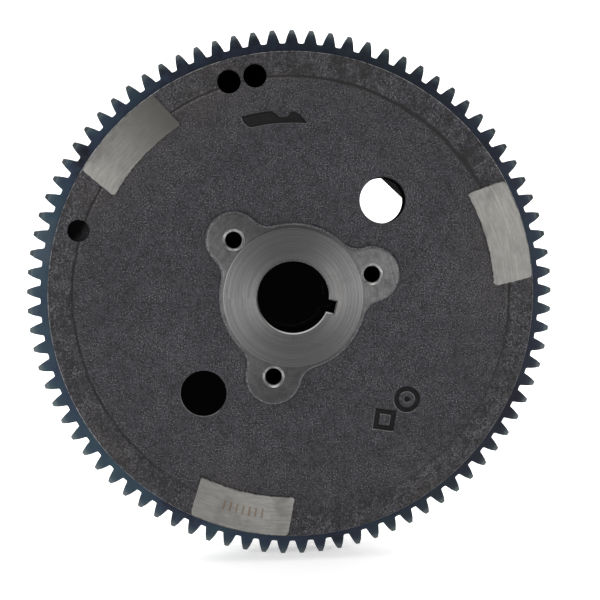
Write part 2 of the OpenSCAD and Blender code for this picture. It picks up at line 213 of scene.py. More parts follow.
class Shell:
    """Collects points and faces of one surface as whole arrays."""

    def __init__(self):
        self.blocks = []
        self.faces = []
        self.count = 0

    def add(self, points):
        """Stores an array of points and returns their numbers in the same layout."""
        ids = np.arange(points[..., 0].size).reshape(points.shape[:-1]) + self.count
        self.blocks.append(points.reshape(-1, 3))
        self.count += ids.size
        return ids

    @property
    def points(self):
        return np.concatenate(self.blocks)

    def grid(self, ids, wrap=True, keep=None):
        """Quads between neighbouring rows and columns, where keep is true."""
        across = np.roll(ids, -1, 1) if wrap else ids[:, 1:]
        here = ids if wrap else ids[:, :-1]
        quads = np.stack([here[:-1], across[:-1], across[1:], here[1:]], -1)
        self.faces.append(quads[keep] if keep is not None else quads.reshape(-1, 4))

    def zip(self, a, b, centre, square=False):
        """Triangles between two closed loops round a centre. Walking round it, each loop's next
        edge is joined to the last point passed on the other loop. Square loops are walked on the
        square that their radii and angles span, so that their corners meet."""
        points = self.points

        def turn(ids):
            flat = points[ids][:, :2]
            if not square:
                return np.arctan2(*(flat - np.asarray(centre))[:, ::-1].T)
            degrees = np.degrees(np.arctan2(flat[:, 1], flat[:, 0])) % 360
            flat = np.stack([degrees, np.hypot(*flat.T)], -1)
            low, high = flat.min(0), flat.max(0)
            return np.arctan2(*((flat - (low + high) / 2) / (high - low))[:, ::-1].T)

        a, b = a[np.argsort(turn(a), kind="stable")], b[np.argsort(turn(b), kind="stable")]
        ta, tb = turn(a), turn(b)
        on_b = np.searchsorted(tb, np.roll(ta, -1), "left") - 1
        on_a = np.searchsorted(ta, np.roll(tb, -1), "right") - 1
        self.faces.append(np.stack([a, np.roll(a, -1), b[on_b]], -1))
        self.faces.append(np.stack([np.roll(b, -1), b, a[on_a]], -1))

    def cap(self, ids):
        """One flat face round a closed loop."""
        self.faces.append(np.asarray(ids)[None])

    def build(self, name, finish, slot, nodes, sharp=40.0):
        """Makes the mesh object, turns its faces outwards and puts it in the nodes' place."""
        mesh = bpy.data.meshes.new(name)
        used, where = np.unique(np.concatenate([f.ravel() for f in self.faces]), return_inverse=True)
        sizes = np.concatenate([np.full(len(f), f.shape[1]) for f in self.faces])
        mesh.vertices.add(len(used))
        mesh.vertices.foreach_set("co", put(self.points[used]).ravel().astype(np.float32))
        mesh.loops.add(len(where))
        mesh.loops.foreach_set("vertex_index", where.astype(np.int32))
        mesh.polygons.add(len(sizes))
        mesh.polygons.foreach_set("loop_start", np.r_[0, np.cumsum(sizes)[:-1]].astype(np.int32))
        mesh.update(calc_edges=True)
        mesh.validate()
        work = bmesh.new()
        work.from_mesh(mesh)
        bmesh.ops.remove_doubles(work, verts=work.verts, dist=1e-7)
        bmesh.ops.recalc_face_normals(work, faces=work.faces)
        work.to_mesh(mesh)
        work.free()
        mesh.polygons.foreach_set("use_smooth", np.ones(len(mesh.polygons), bool))
        mesh.set_sharp_from_angle(angle=math.radians(sharp))
        mesh.materials.append(finish)
        piece = new_object(name, mesh)
        piece.modifiers.new("even_shading", "WEIGHTED_NORMAL").keep_sharp = True
        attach(piece, "root")
        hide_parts(*nodes)


def block(ids, rows, columns):
    """Closed border loop of a block of grid points, and the block's first and last numbers."""
    (i, m), (j, n) = rows, columns
    return np.concatenate([
        ids[i, j:n], ids[i:m, n], ids[m, j + 1:n + 1][::-1], ids[i + 1:m + 1, j][::-1]
    ])


def outer_loop(ids):
    """Closed border loop of a whole grid."""
    return block(ids, (0, ids.shape[0] - 1), (0, ids.shape[1] - 1))


def revolve(shell, profile, columns=96, centre=(0.0, 0.0)):
    """Carries a profile of (radius, height) points once round the Z axis at centre."""
    turn = np.arange(columns) * 360.0 / columns
    points = polar(profile[:, 0:1], turn[None], profile[:, 1:2])
    return shell.add(points + np.array([*centre, 0.0]))


def prism(shell, outline, z_low, z_high, edge, degrees=0.0, steps=3):
    """Extrudes a closed outline from z_low to z_high. Near both ends each point moves inwards
    along its corner's bisector by edge * (1 - cos), as a quarter circle does."""
    ahead = np.roll(outline, -1, 0) - outline
    normal = np.stack([ahead[:, 1], -ahead[:, 0]], -1)
    normal /= np.linalg.norm(normal, axis=1, keepdims=True)
    before = np.roll(normal, 1, 0)
    bisector = (normal + before) / (1 + (normal * before).sum(1))[:, None]
    arc = np.linspace(0, math.pi / 2, steps + 1)
    inset = edge * (1 - np.sin(arc))
    drop = edge * (1 - np.cos(arc))
    inset = np.r_[inset, inset[::-1]]
    level = np.r_[z_high - drop, z_low + drop[::-1]]
    flat = outline[None] - bisector[None] * inset[:, None, None]
    turn = math.radians(degrees)
    x = flat[..., 0] * math.cos(turn) - flat[..., 1] * math.sin(turn)
    y = flat[..., 0] * math.sin(turn) + flat[..., 1] * math.cos(turn)
    ids = shell.add(np.stack([x, y, np.broadcast_to(level[:, None], x.shape)], -1))
    shell.grid(ids)
    shell.cap(ids[0])
    shell.cap(ids[-1][::-1])


# ---- node finishes ----


def grey(level):
    """A neutral colour."""
    return (level, level, level)


def sums(operation):
    """A Python operator and its reflected form, each as one Math node."""

    def plain(self, other):
        return self.math(operation, other)

    def reflected(self, other):
        return self.nodes.add("ShaderNodeMath", {"operation": operation}, {0: other, 1: self})

    return plain, reflected


class Value:
    """A shader socket that takes part in Python sums: each sum adds a Math node to its tree."""

    def __init__(self, nodes, socket):
        self.nodes = nodes
        self.socket = socket

    def math(self, operation, *others):
        """One Math node on this value and the others."""
        return self.nodes.add("ShaderNodeMath", {"operation": operation}, dict(enumerate((self, *others))))

    def sine(self):
        return self.math("SINE")

    def cosine(self):
        return self.math("COSINE")

    __add__, __radd__ = sums("ADD")
    __sub__, __rsub__ = sums("SUBTRACT")
    __mul__, __rmul__ = sums("MULTIPLY")
    __truediv__, __rtruediv__ = sums("DIVIDE")
    __pow__, __rpow__ = sums("POWER")


def largest(*values):
    """The largest of several values."""
    result = values[0]
    for value in values[1:]:
        result = result.math("MAXIMUM", value)
    return result


class Nodes:
    """A material's or a world's node tree, emptied down to its output."""

    def __init__(self, owner, output="ShaderNodeOutputMaterial"):
        owner.use_nodes = True
        self.tree = owner.node_tree
        self.tree.nodes.clear()
        self.out = self.tree.nodes.new(output).inputs[0]

    def add(self, kind, settings=None, inputs=None, output=0):
        """Adds any node: its settings first, then each socket's value or link."""
        node = self.tree.nodes.new(kind)
        for key, value in (settings or {}).items():
            if key == "stops":
                ramp = node.color_ramp
                while len(ramp.elements) < len(value):
                    ramp.elements.new(0.5)
                for element, (position, colour) in zip(ramp.elements, value):
                    element.position = position
                    element.color = (*colour, 1.0)
            else:
                setattr(node, key, value)
        for key, value in (inputs or {}).items():
            self.join(value, node.inputs[key])
        return Value(self, node.outputs[output])

    def join(self, value, socket):
        """Links a value to a socket, or sets the socket to a number, vector or colour."""
        if isinstance(value, Value):
            self.tree.links.new(value.socket, socket)
        elif value is not None:
            socket.default_value = (*value, 1.0) if socket.type == "RGBA" else value


class Finish(Nodes):
    """One procedural material and a few short ways to fill it."""

    def __init__(self, name, **constants):
        self.material = bpy.data.materials.new(name)
        super().__init__(self.material)
        self.shader = self.tree.nodes.new("ShaderNodeBsdfPrincipled")
        self.join(Value(self, self.shader.outputs[0]), self.out)
        self.set(**constants)
        coordinates = self.tree.nodes.new("ShaderNodeTexCoord").outputs
        self.place = Value(self, coordinates["Object"])
        self.normal = Value(self, coordinates["Normal"])
        parts = self.tree.nodes.new("ShaderNodeSeparateXYZ")
        self.join(self.place, parts.inputs[0])
        self.x, self.y, self.z = (Value(self, socket) for socket in parts.outputs)

    def mix(self, factor, a, b):
        """Colour between a and b."""
        return self.add("ShaderNodeMix", {"data_type": "RGBA"}, {0: factor, 6: a, 7: b}, 2)

    def layers(self, tone, *layers):
        """Colours laid over tone one after another, each where its mask is 1."""
        for mask, colour in layers:
            tone = self.mix(mask, tone, colour)
        return tone

    def ramp(self, value, stops):
        """Colour of a ramp whose stops are (position, colour) pairs."""
        return self.add("ShaderNodeValToRGB", {"stops": stops}, {0: value})

    def step(self, value, start, end, low=0.0, high=1.0):
        """Smooth step of value from low at start to high at end."""
        settings = {"interpolation_type": "SMOOTHSTEP", "clamp": True}
        return self.add("ShaderNodeMapRange", settings, {0: value, 1: start, 2: end, 3: low, 4: high})

    def window(self, value, start, end, soft):
        """1 between start and end, falling to 0 over soft on both sides."""
        rise = self.step(value, start - soft / 2, start + soft / 2)
        return rise * self.step(value, end - soft / 2, end + soft / 2, 1.0, 0.0)

    def noise(self, size, detail=2.0, rough=0.5, vector=None, distortion=0.0):
        """Noise whose features are about size millimetres across."""
        inputs = {
            "Vector": vector or self.place,
            "Scale": MM / size,
            "Detail": detail,
            "Roughness": rough,
            "Distortion": distortion,
        }
        return self.add("ShaderNodeTexNoise", None, inputs)

    def streaks(self, detail, rough, x, y, z):
        """Noise that is drawn out, because its three coordinates change at different rates."""
        return self.noise(1.0, detail, rough, self.add("ShaderNodeCombineXYZ", None, {0: x, 1: y, 2: z}))

    def cells(self, size):
        """Distance to scattered points about size millimetres apart."""
        return self.add("ShaderNodeTexVoronoi", {"feature": "F1"}, {"Vector": self.place, "Scale": MM / size})

    def axes(self):
        """Radius and height above the gear face in millimetres, and angle in radians."""
        radius = (self.x * self.x + self.z * self.z) ** 0.5 * MM
        return radius, self.y * -MM, self.z.math("ARCTAN2", self.x)

    def facing(self, direction):
        """How far the surface faces along a direction of the object: 1 straight at it, -1 away."""
        inputs = {0: self.normal, 1: direction}
        return self.add("ShaderNodeVectorMath", {"operation": "DOT_PRODUCT"}, inputs, 1)

    def offset(self, centre):
        """How far right of and above a point of the disc, in millimetres."""
        return self.x * MM - float(centre[0]), self.z * MM - float(centre[1])

    def bump(self, *heights):
        """Bump nodes in a chain, one for each height in metres."""
        normal = None
        for height in heights:
            normal = self.add("ShaderNodeBump", None, {"Height": height, "Distance": 1.0, "Normal": normal})
        self.set(Normal=normal)

    def blacken(self, mask):
        """Replaces the shader by a matt black one where mask is 1."""
        black = self.add("ShaderNodeBsdfDiffuse", None, {"Color": grey(0.002)})
        shaders = {0: mask, 1: Value(self, self.shader.outputs[0]), 2: black}
        self.join(self.add("ShaderNodeMixShader", None, shaders), self.out)

    def set(self, **values):
        """Sets or links the shader's own sockets."""
        for key, value in values.items():
            self.join(value, self.shader.inputs[key.replace("_", " ")])
        return self.material


def deep_holes(f, height):
    """Masks of the painted shade inside the web, drilled and tapped holes, of the shallow spot's painted
    shade with a painted highlight on its lower right, and of the tapped holes' bright countersinks."""

    def inside(far, radius, *degrees):
        masks = []
        for turn in degrees:
            across, upward = f.offset(polar(far, turn, 0.0))
            masks.append(f.step((across * across + upward * upward) ** 0.5, radius + 0.12, radius + 0.02))
        return largest(*masks)

    def below(level, soft):
        return f.step(height, level, level - soft)

    # painted shade in the shallow spot, lighter towards its lower right as a painted highlight
    across, upward = f.offset(polar(BALANCE_AT, SPOT, 0.0))
    lit = f.step(across * 0.8 - upward * 0.6, -0.6, 2.8)
    spot = inside(BALANCE_AT, SPOT_R, SPOT) * below(FACE - 0.05, 0.3) * (lit * -0.3 + 1.0)
    spot = spot * f.step(height, 3.0, 4.0)
    # the drilled and tapped holes are blind, so their painted shade ends below their points
    web = inside(WEB_HOLE_AT, WEB_HOLE_R, *WEB_HOLES) * below(FACE - 0.3, 0.5)
    drilled = inside(BALANCE_AT, BALANCE_R, *BALANCE) * below(FACE - 0.3, 0.6) * f.step(height, -17.0, -16.0)
    tapped = inside(BOLT_R, TAP_R, *LOBES) * below(LOBE_TOP - 0.9, 0.9) * f.step(height, -9.5, -9.0)
    sink = inside(BOLT_R, TAP_SINK_R + 0.1, *LOBES) * below(LOBE_TOP - 0.02, 0.05)
    return largest(web, drilled, tapped), spot, sink * f.step(height, LOBE_TOP - 1.1, LOBE_TOP - 0.6)


def tick_row(f, radius, angle):
    """A plain row of seven short dark strokes across the lowest pad."""
    along = (angle * (180.0 / math.pi) + (360.0 - PADS[2])) * 1.53
    rough = f.noise(0.8, 3.0, 0.6) - 0.5
    strokes = f.step((along * (2 * math.pi / 2.6)).cosine() + rough * 0.9, 0.35, 0.7)
    return strokes * f.window(along, -9.1, 9.1, 0.2) * f.window(radius - 89.4 + rough * 0.8, -1.9, 1.9, 0.3)


def cast_iron(colours, groove_pitch):
    """Blasted grey iron skin with turned, faced and ground areas picked out by radius and height."""
    f = Finish("cast_iron_finish", Specular_IOR_Level=0.3)
    radius, height, angle = f.axes()
    grit = f.noise(0.6, 2.0, 0.65)
    grain = f.noise(2.1, 3.0, 0.6)
    lumps = f.noise(6.0, 3.0, 0.55)
    smear = f.noise(14.0, 5.0, 0.65)
    cloud = f.noise(46.0, 4.0, 0.6)
    wobble = lumps - 0.5

    # where a cutter has been
    turned = f.step(radius, TURNED_R + 0.05, TURNED_R - 0.1) * f.step(height, HUB_TOP - 0.2, HUB_TOP - 0.1)
    lobe = f.step(height, LOBE_TOP - 0.12, LOBE_TOP - 0.03) * f.step(radius, 47.0, 46.5)
    pad = f.step(height + wobble * 0.3, PAD_TOP - 0.2, PAD_TOP - 0.08) * f.step(radius, 80.0, 80.5)
    outside = f.step(radius, 81.8, 82.0) * f.step(height, -10.5, -11.0)
    seat = f.step(radius, CAVITY_R - 0.125, CAVITY_R - 0.025) * f.step(height, -3.8, -3.95)
    tail = f.step(height, HUB_REAR + 0.25, HUB_REAR + 0.1)
    # painted shade down the bore and keyway, joined to the holes' painted shade
    bore = f.step(radius, KEY[2] + 1.3, KEY[2] + 0.8) * f.step(height, HUB_TOP - 0.5, HUB_TOP - 0.7)
    bore = bore * f.step(height, HUB_REAR + 0.6, HUB_REAR + 0.8)
    behind = largest(outside, seat, tail)
    hub = largest(turned, lobe)
    dark, spot, sink = deep_holes(f, height)
    dark = largest(dark, bore)
    cut = largest(hub, pad, behind, sink)

    # the cast skin: grains, then the margin near the edge with painted shade at its step, then the marks'
    # painted shade, a painted highlight on the lobes' walls and the edge, partly bare and partly a painted
    # highlight
    speckle = f.step(grit + wobble * 0.16 + (cloud - 0.5) * 0.1, 0.52, 0.68)
    hollow = f.step(grain * 0.5 + grit * 0.5, 0.52, 0.38)
    rust = f.step(cloud + grain * 0.2, 0.52, 0.78) * f.step(radius, 60.0, 90.0)
    margin = f.step(height, FACE - 0.1, FACE - 0.02)
    # painted shade: darker towards the upper right, where the margin's step faces away from the light
    shaded_side = f.step((angle - 0.95).cosine(), 0.72, 0.95)
    # random dark patches on the margin, made stronger towards the upper right by the painted shade
    outer = f.step(radius + wobble * 2.0, 88.6, 89.2) * f.step(grain * 0.4 + lumps * 0.6, 0.56, 0.4) * margin
    # painted shadow along the foot of the margin's step, fading towards the lower right
    step_shadow = f.window(radius + wobble * 1.2, 88.1, 88.9, 0.5) * f.step(cloud, 0.3, 0.5, 0.35, 0.95)
    step_shadow = step_shadow * f.step((angle - 1.9).cosine(), -0.9, -0.3, 0.25, 1.0)
    wide_step_shade = f.window(radius + wobble * 1.6, 87.4, 89.2, 1.0) * shaded_side * 0.85
    ridge = f.window(radius + wobble * 1.2, 87.2, 87.9, 0.5) * margin
    marked = f.window(radius, *MARKED, 0.5)
    # painted shade on the floors of the sunk arrow and marks
    marks = f.step(height, FACE - 0.12, FACE - 0.5) * marked * f.step(height, 4.0, 5.0)
    # how far the surface faces the light, which comes from above and a little to the right
    upward = f.facing((0.42, 0.0, 0.9))
    lip = f.step(height, FACE - 0.01, FACE - 0.04) * marked
    worn = lip * f.step(upward, 0.03, 0.3) * f.step(height, FACE - 0.6, FACE - 0.3)
    # painted highlight: a light line round the upper walls of the hub's lobes
    boss_edge_highlight = f.window(height + wobble * 0.7, LOBE_TOP - 0.9, LOBE_TOP - 0.08, 0.25) * f.step(radius, 48.0, 47.0)
    # line at the disc edge, partly worn bare metal and partly a painted highlight that fades out towards the
    # lower right
    line = f.step(radius + wobble * 0.25, 98.05, 98.3) * f.step(height, 7.5, 8.0) * f.step(grain, 0.4, 0.55)
    line = line * f.step((angle - 2.0).cosine(), -0.75, 0.0, 0.1, 1.0)
    skin = f.layers(
        colours.cast_skin,
        (hollow * 0.85, colours.cast_shadow),
        (speckle * 0.8, colours.cast_speckle),
        (f.step(grain, 0.5, 0.72) * 0.3, (0.052, 0.051, 0.056)),
        (rust * 0.4, colours.cast_rust),
        (outer * (shaded_side * 0.35 + 0.3), (0.007, 0.006, 0.0055)),
        (largest(step_shadow, wide_step_shade) * margin, (0.004, 0.003, 0.003)),
        (ridge * f.step(grit, 0.4, 0.6) * f.step(cloud, 0.42, 0.62) * 0.6, (0.12, 0.112, 0.104)),
        (marks * 0.85, (0.006, 0.006, 0.007)),
        # painted shade on the marks' walls that face away from the light, and a painted highlight, partly
        # wear, on those that face it
        (lip * f.step(upward, -0.03, -0.3) * 0.9, grey(0.003)),
        (worn * f.step(grit, 0.3, 0.5, 0.45, 1.0), grey(0.125)),
        (boss_edge_highlight * f.step(grit, 0.38, 0.56), (0.15, 0.15, 0.155)),
        (line * 0.8, colours.edge_bare_and_highlight),
    )

    # the turned hub, with a fan of lighter and darker sectors: painted reflection of the turning grooves
    rings = f.streaks(3.0, 0.7, radius * 0.0015, height * 0.001, angle * 0.0004)
    # painted reflection: lighter to the sides, darker above and below
    fan = ((angle * 2.0 - 0.25).cosine() * 0.5 + 0.5) ** 1.4
    # random mottling on the lobes' tops, a little darker towards the bottom
    lobe_mottle = f.step(grain * 0.5 + smear * 0.5, 0.34, 0.66, 0.15, 0.6) - angle.sine() * 0.1
    hub_tone = f.layers(
        colours.turned_dark,
        (f.step(rings, 0.25, 0.75), colours.turned_light),
        (fan * -0.7 + 0.7, [0.45 * c for c in colours.turned_dark]),
        (f.step(smear, 0.5, 0.75) * 0.4, (0.085, 0.083, 0.08)),
        (f.step(grit, 0.62, 0.8) * 0.3, (0.3, 0.29, 0.27)),
        (f.step(grit, 0.4, 0.25) * 0.5, grey(0.04)),
        (lobe * (1.0 - turned) * lobe_mottle, (0.03, 0.03, 0.032)),
    )

    # the ground pads, each darker towards one end: painted reflection, like the hub's fan
    strokes = f.streaks(4.0, 0.6, radius * 0.0014, angle * 0.012, height * 0.001)
    stain = f.step(f.noise(12.0, 5.0, 0.62), 0.46, 0.74)
    pad_reflection_dim = (angle - math.radians(PADS[0] - 56.0)).cosine() * -0.24 + 0.24
    pad_reflection_dim = pad_reflection_dim * ((angle * 3.0 - math.radians(3.0 * PADS[0])).sine() * -2.0 + 1.0)
    # painted highlight: a lighter line across the pads, only towards the right and where their painted
    # reflection is bright
    pad_bright_line = f.window(radius + wobble * 1.4, 91.6, 92.3, 0.4) * f.step(smear, 0.45, 0.55) * (1.0 - pad_reflection_dim)
    pad_tone = f.layers(
        colours.pad_dark,
        (f.step(strokes, 0.3, 0.7), colours.pad_light),
        (stain * 0.75, colours.pad_stain),
        (pad_reflection_dim, [0.45 * c for c in colours.pad_dark]),
        (pad_bright_line * f.step(angle.cosine(), 0.0, 0.9) * 0.3, (0.36, 0.35, 0.33)),
        (f.step(grain * 0.5 + lumps * 0.5, 0.5, 0.72) * 0.3, colours.pad_stain),
        (pad * tick_row(f, radius, angle) * 0.6, colours.tick_stain),
    )

    lathe = f.streaks(2.0, 0.6, radius * 0.0016, height * 0.0016, 0.0)
    # painted highlight on the bore's top chamfer, shown where it faces up and to the left
    edge = f.window(height, HUB_TOP - 0.6, HUB_TOP - 0.04, 0.04) * f.step(radius, 17.4, 17.0)
    tone = f.layers(
        skin,
        (hub, hub_tone),
        (pad, pad_tone),
        (behind, f.mix(lathe, grey(0.2), (0.34, 0.335, 0.325))),
        (sink, f.mix(f.step(grain, 0.4, 0.6), (0.27, 0.265, 0.26), (0.5, 0.49, 0.48))),
        # painted highlight on the bore's chamfer
        (edge * f.step(f.facing((-0.3, 0.0, 0.95)), 0.05, 0.5) * 0.8, (0.6, 0.59, 0.58)),
        # painted shade: near black inside the holes and the bore
        (dark, grey(0.003)),
    )
    gloss = f.layers(
        f.mix(speckle, grey(0.7), grey(0.5)),
        (hub, grey(0.34)),
        (pad, grey(0.46)),
        (largest(behind, sink), grey(0.34)),
        (dark, grey(0.9)),
    )

    # relief, in metres
    turning = (radius / groove_pitch * (2 * math.pi / MM)).sine()
    skin_relief = (lumps * 0.00009 + grain * 0.00007 + grit * 0.00005) * (1.0 - cut)
    tool_relief = (turning * 0.00002 + rings * 0.00003) * hub + strokes * pad * 0.00003
    f.bump(skin_relief, tool_relief + lathe * behind * 0.00001)
    # painted shade: a matt black shader in the holes, the bore, the spot and, at half strength, the marks;
    # the holes are also made metallic
    f.blacken(largest(dark, spot, marks * 0.5))
    metal = largest(cut * 0.95, line * 0.6, dark, speckle * 0.25)
    return f.set(Base_Color=tone, Metallic=metal, Roughness=gloss)


def blued_steel(colours):
    """Heat-blued gear steel: navy, teal and purple-black patches, greenish worn teeth and mill marks."""
    f = Finish("blued_steel_finish", Specular_IOR_Level=0.5)
    radius, height, angle = f.axes()
    band = f.noise(38.0, 3.0, 0.6)
    fine = f.noise(2.4, 4.0, 0.6)
    grit = f.noise(0.5, 3.0, 0.6)
    patches = f.ramp(band * 0.8 + fine * 0.2, [
        (0.34, colours.blued_dark),
        (0.46, colours.blued),
        (0.56, colours.blued_teal),
        (0.70, colours.blued_light),
    ])
    ragged = fine - 0.5
    shade = ((angle - 1.1).cosine() * 0.5 + 0.5) ** 6.0
    low_shade = ((angle + 0.62).cosine() * 0.5 + 0.5) ** 5.0
    inner = f.step(radius + ragged * 2.0, 101.6, 99.0)
    tooth = f.step(radius + ragged * 2.6, 104.0, 107.6)
    tip = f.step(radius + ragged * 1.2, 107.4, 108.6)
    nose = f.step(height + ragged * 0.5, -1.5, -0.2) * f.step(radius, 105.9, 107.4)
    tone = f.layers(
        patches,
        (shade * 0.7, colours.blued_dark),
        (inner * 0.6, colours.blued_purple),
        (low_shade * 0.85, [1.3 * c for c in colours.blued_dark]),
        (tooth * (0.55 - low_shade * 0.3), colours.tooth_face),
        (tip * 0.5, colours.tooth_tip),
        (nose * 0.3, colours.tooth_tip),
        (f.step(fine, 0.62, 0.78) * 0.35, (0.1, 0.095, 0.09)),
    )
    scrape = f.streaks(2.0, 0.6, radius * 0.0019, height * 0.0006, 0.0)
    mill = f.streaks(2.0, 0.6, angle * 0.6, height * 0.0022, radius * 0.0002)
    f.bump(grit * 0.00001 + scrape * 0.000012, mill * 0.000012)
    shine = f.mix(f.step(fine, 0.35, 0.65), grey(0.36), grey(0.5))
    return f.set(Base_Color=tone, Metallic=0.85, Roughness=shine)


def ferrite():
    """Sintered magnet: matt charcoal with ground faces and small chips."""
    f = Finish("ferrite_finish", Specular_IOR_Level=0.0)
    grit = f.noise(0.6, 4.0, 0.65)
    cloud = f.noise(11.0, 3.0, 0.5)
    chips = f.step(f.cells(3.2), 0.16, 0.05) * f.step(cloud, 0.5, 0.62)
    grind = f.streaks(3.0, 0.6, f.x * 90.0, f.axes()[1] * 0.0016, f.z * 90.0)
    tone = f.layers(
        (0.007, 0.007, 0.008),
        (grit, (0.02, 0.0195, 0.02)),
        (f.step(grind, 0.45, 0.65) * 0.4, (0.03, 0.0295, 0.03)),
        (chips, grey(0.004)),
    )
    f.bump(grit * 0.00002 + grind * 0.00001 - chips * 0.00008)
    return f.set(Base_Color=tone, Roughness=f.step(cloud, 0.3, 0.7, 0.5, 0.68))


def cage_plastic():
    """Glass-filled moulded nylon: near black with fine sparkle and flow marks."""
    f = Finish("cage_plastic_finish", Specular_IOR_Level=0.2)
    flow = f.noise(5.0, 3.0, 0.5, distortion=1.2)
    texture = f.noise(0.35, 2.0, 0.6)
    sparkle = f.step(texture, 0.62, 0.72) * 0.4
    tone = f.layers((0.012, 0.012, 0.013), (flow, (0.03, 0.03, 0.033)), (sparkle, grey(0.09)))
    f.bump(texture * 0.00001 + flow * 0.00002)
    return f.set(Base_Color=tone, Roughness=f.step(flow, 0.3, 0.7, 0.42, 0.58))


def plated_steel():
    """Zinc plate with crystalline bloom, circular polish marks and dull handling stains."""
    f = Finish("plated_steel_finish", Metallic=1.0)
    radius, height, _ = f.axes()
    bloom = f.cells(2.2)
    cloud = f.noise(19.0, 4.0, 0.6)
    polish = f.streaks(3.0, 0.65, radius * 0.0017, height * 0.001, 0.0)
    tone = f.layers(
        (0.5, 0.51, 0.52),
        (bloom, (0.66, 0.67, 0.68)),
        (f.step(cloud, 0.5, 0.72) * 0.5, (0.36, 0.35, 0.33)),
        (f.step(polish, 0.55, 0.75) * 0.35, grey(0.8)),
    )
    f.bump(polish * 0.000008 + bloom * 0.000006)
    return f.set(Base_Color=tone, Roughness=f.step(cloud, 0.3, 0.75, 0.26, 0.46))


def screw_steel():
    """Yellowish passivated screw steel with forging grain and darker recesses."""
    f = Finish("screw_steel_finish", Metallic=1.0)
    grain = f.noise(0.7, 3.0, 0.6)
    patch = f.noise(3.5, 3.0, 0.6)
    tone = f.ramp(patch, [(0.3, (0.42, 0.36, 0.24)), (0.5, (0.5, 0.46, 0.36)), (0.7, (0.4, 0.42, 0.38))])
    tone = f.mix(f.step(grain, 0.5, 0.75) * 0.4, tone, (0.2, 0.17, 0.12))
    f.bump(grain * 0.000012 + patch * 0.00002)
    return f.set(Base_Color=tone, Roughness=f.step(grain, 0.3, 0.7, 0.28, 0.45))


def magnet_alloy():
    """Cast magnet alloy: grey metal with a coarse broken grain."""
    f = Finish("magnet_alloy_finish", Metallic=0.9)
    grain = f.cells(1.1)
    cloud = f.noise(4.0, 4.0, 0.6)
    stain = f.step(cloud, 0.52, 0.7) * 0.6
    tone = f.layers((0.16, 0.16, 0.17), (grain, (0.32, 0.32, 0.33)), (stain, (0.14, 0.12, 0.1)))
    f.bump(grain * 0.00002 + cloud * 0.00004)
    return f.set(Base_Color=tone, Roughness=f.step(cloud, 0.3, 0.7, 0.4, 0.6))


def pole_steel():
    """Stack of punched steel sheets, ground round with the rim: fine lines and oil stains."""
    f = Finish("pole_steel_finish", Metallic=0.95)
    height = f.axes()[1]
    sheets = (height * (2 * math.pi / 0.65)).sine() * 0.5 + 0.5
    oil = f.noise(5.0, 4.0, 0.6)
    tone = f.layers(
        (0.14, 0.135, 0.13),
        (f.step(sheets, 0.1, 0.5), (0.4, 0.395, 0.385)),
        (f.step(oil, 0.5, 0.7) * 0.6, (0.2, 0.17, 0.13)),
    )
    f.bump(sheets * 0.00003 + f.noise(0.6) * 0.00001)
    return f.set(Base_Color=tone, Roughness=f.step(oil, 0.3, 0.7, 0.32, 0.5))


# ---- flywheel casting ----


def hub_radius(degrees, grow):
    """Radius of the hub's outline at an angle, grown outwards by grow: a circle with three lobes,
    each joined to it by a hollow blend that touches both. The nearer crossing of the ray with the
    blend circle, or the farther one with the lobe circle, gives the radius."""
    off = np.radians(np.abs(apart(degrees, LOBES[0], 120.0)))
    reach, span = HUB_R + BLEND_R, LOBE_R + BLEND_R
    swing = math.acos((reach**2 + BOLT_R**2 - span**2) / (2 * reach * BOLT_R))
    across = (np.array([reach * math.cos(swing), reach * math.sin(swing)]) - [BOLT_R, 0.0]) / span
    joint = np.array([BOLT_R, 0.0]) + across * (LOBE_R + grow)
    lobe = BOLT_R * np.cos(off) + np.sqrt(np.maximum((LOBE_R + grow) ** 2 - (BOLT_R * np.sin(off)) ** 2, 0))
    hollow = reach * np.cos(off - swing) - np.sqrt(
        np.maximum((BLEND_R - grow) ** 2 - (reach * np.sin(off - swing)) ** 2, 0)
    )
    return np.where(off < math.atan2(joint[1], joint[0]), lobe, np.where(off < swing, hollow, HUB_R + grow))


def bore_outline(degrees, grow, z):
    """Bore with its keyway, grown by grow. Near the keyway the columns slide to its four corners."""
    middle, half, floor = KEY
    off = apart(degrees, middle)
    mouth = math.degrees(math.asin((half + grow) / (BORE_R + grow)))
    corner = math.degrees(math.atan2(half + grow, floor + grow))
    turn = np.interp(off, [-180, -12, -9, 9, 12, 180], [-180, -mouth, -corner, corner, mouth, 180])
    side = (half + grow) / np.maximum(np.abs(np.sin(np.radians(turn))), 1e-6)
    end = (floor + grow) / np.cos(np.radians(turn))
    inside = np.minimum(side, end)
    radius = np.where(np.abs(turn) < mouth - 1e-9, inside, BORE_R + grow)
    return polar(radius, turn + middle, z)


def pad_side(radius):
    """Half the angle of a pad at a radius: its sides spread slightly towards the disc edge."""
    middle = 20.2  # half a pad's width about halfway along its sides
    along = np.sqrt(np.maximum(radius**2 - middle**2, 1.0))
    half = PAD_HALF + (along - PAD_HALF_AT) * PAD_SPREAD
    return np.degrees(np.arcsin(np.clip(half / radius, -1, 1)))


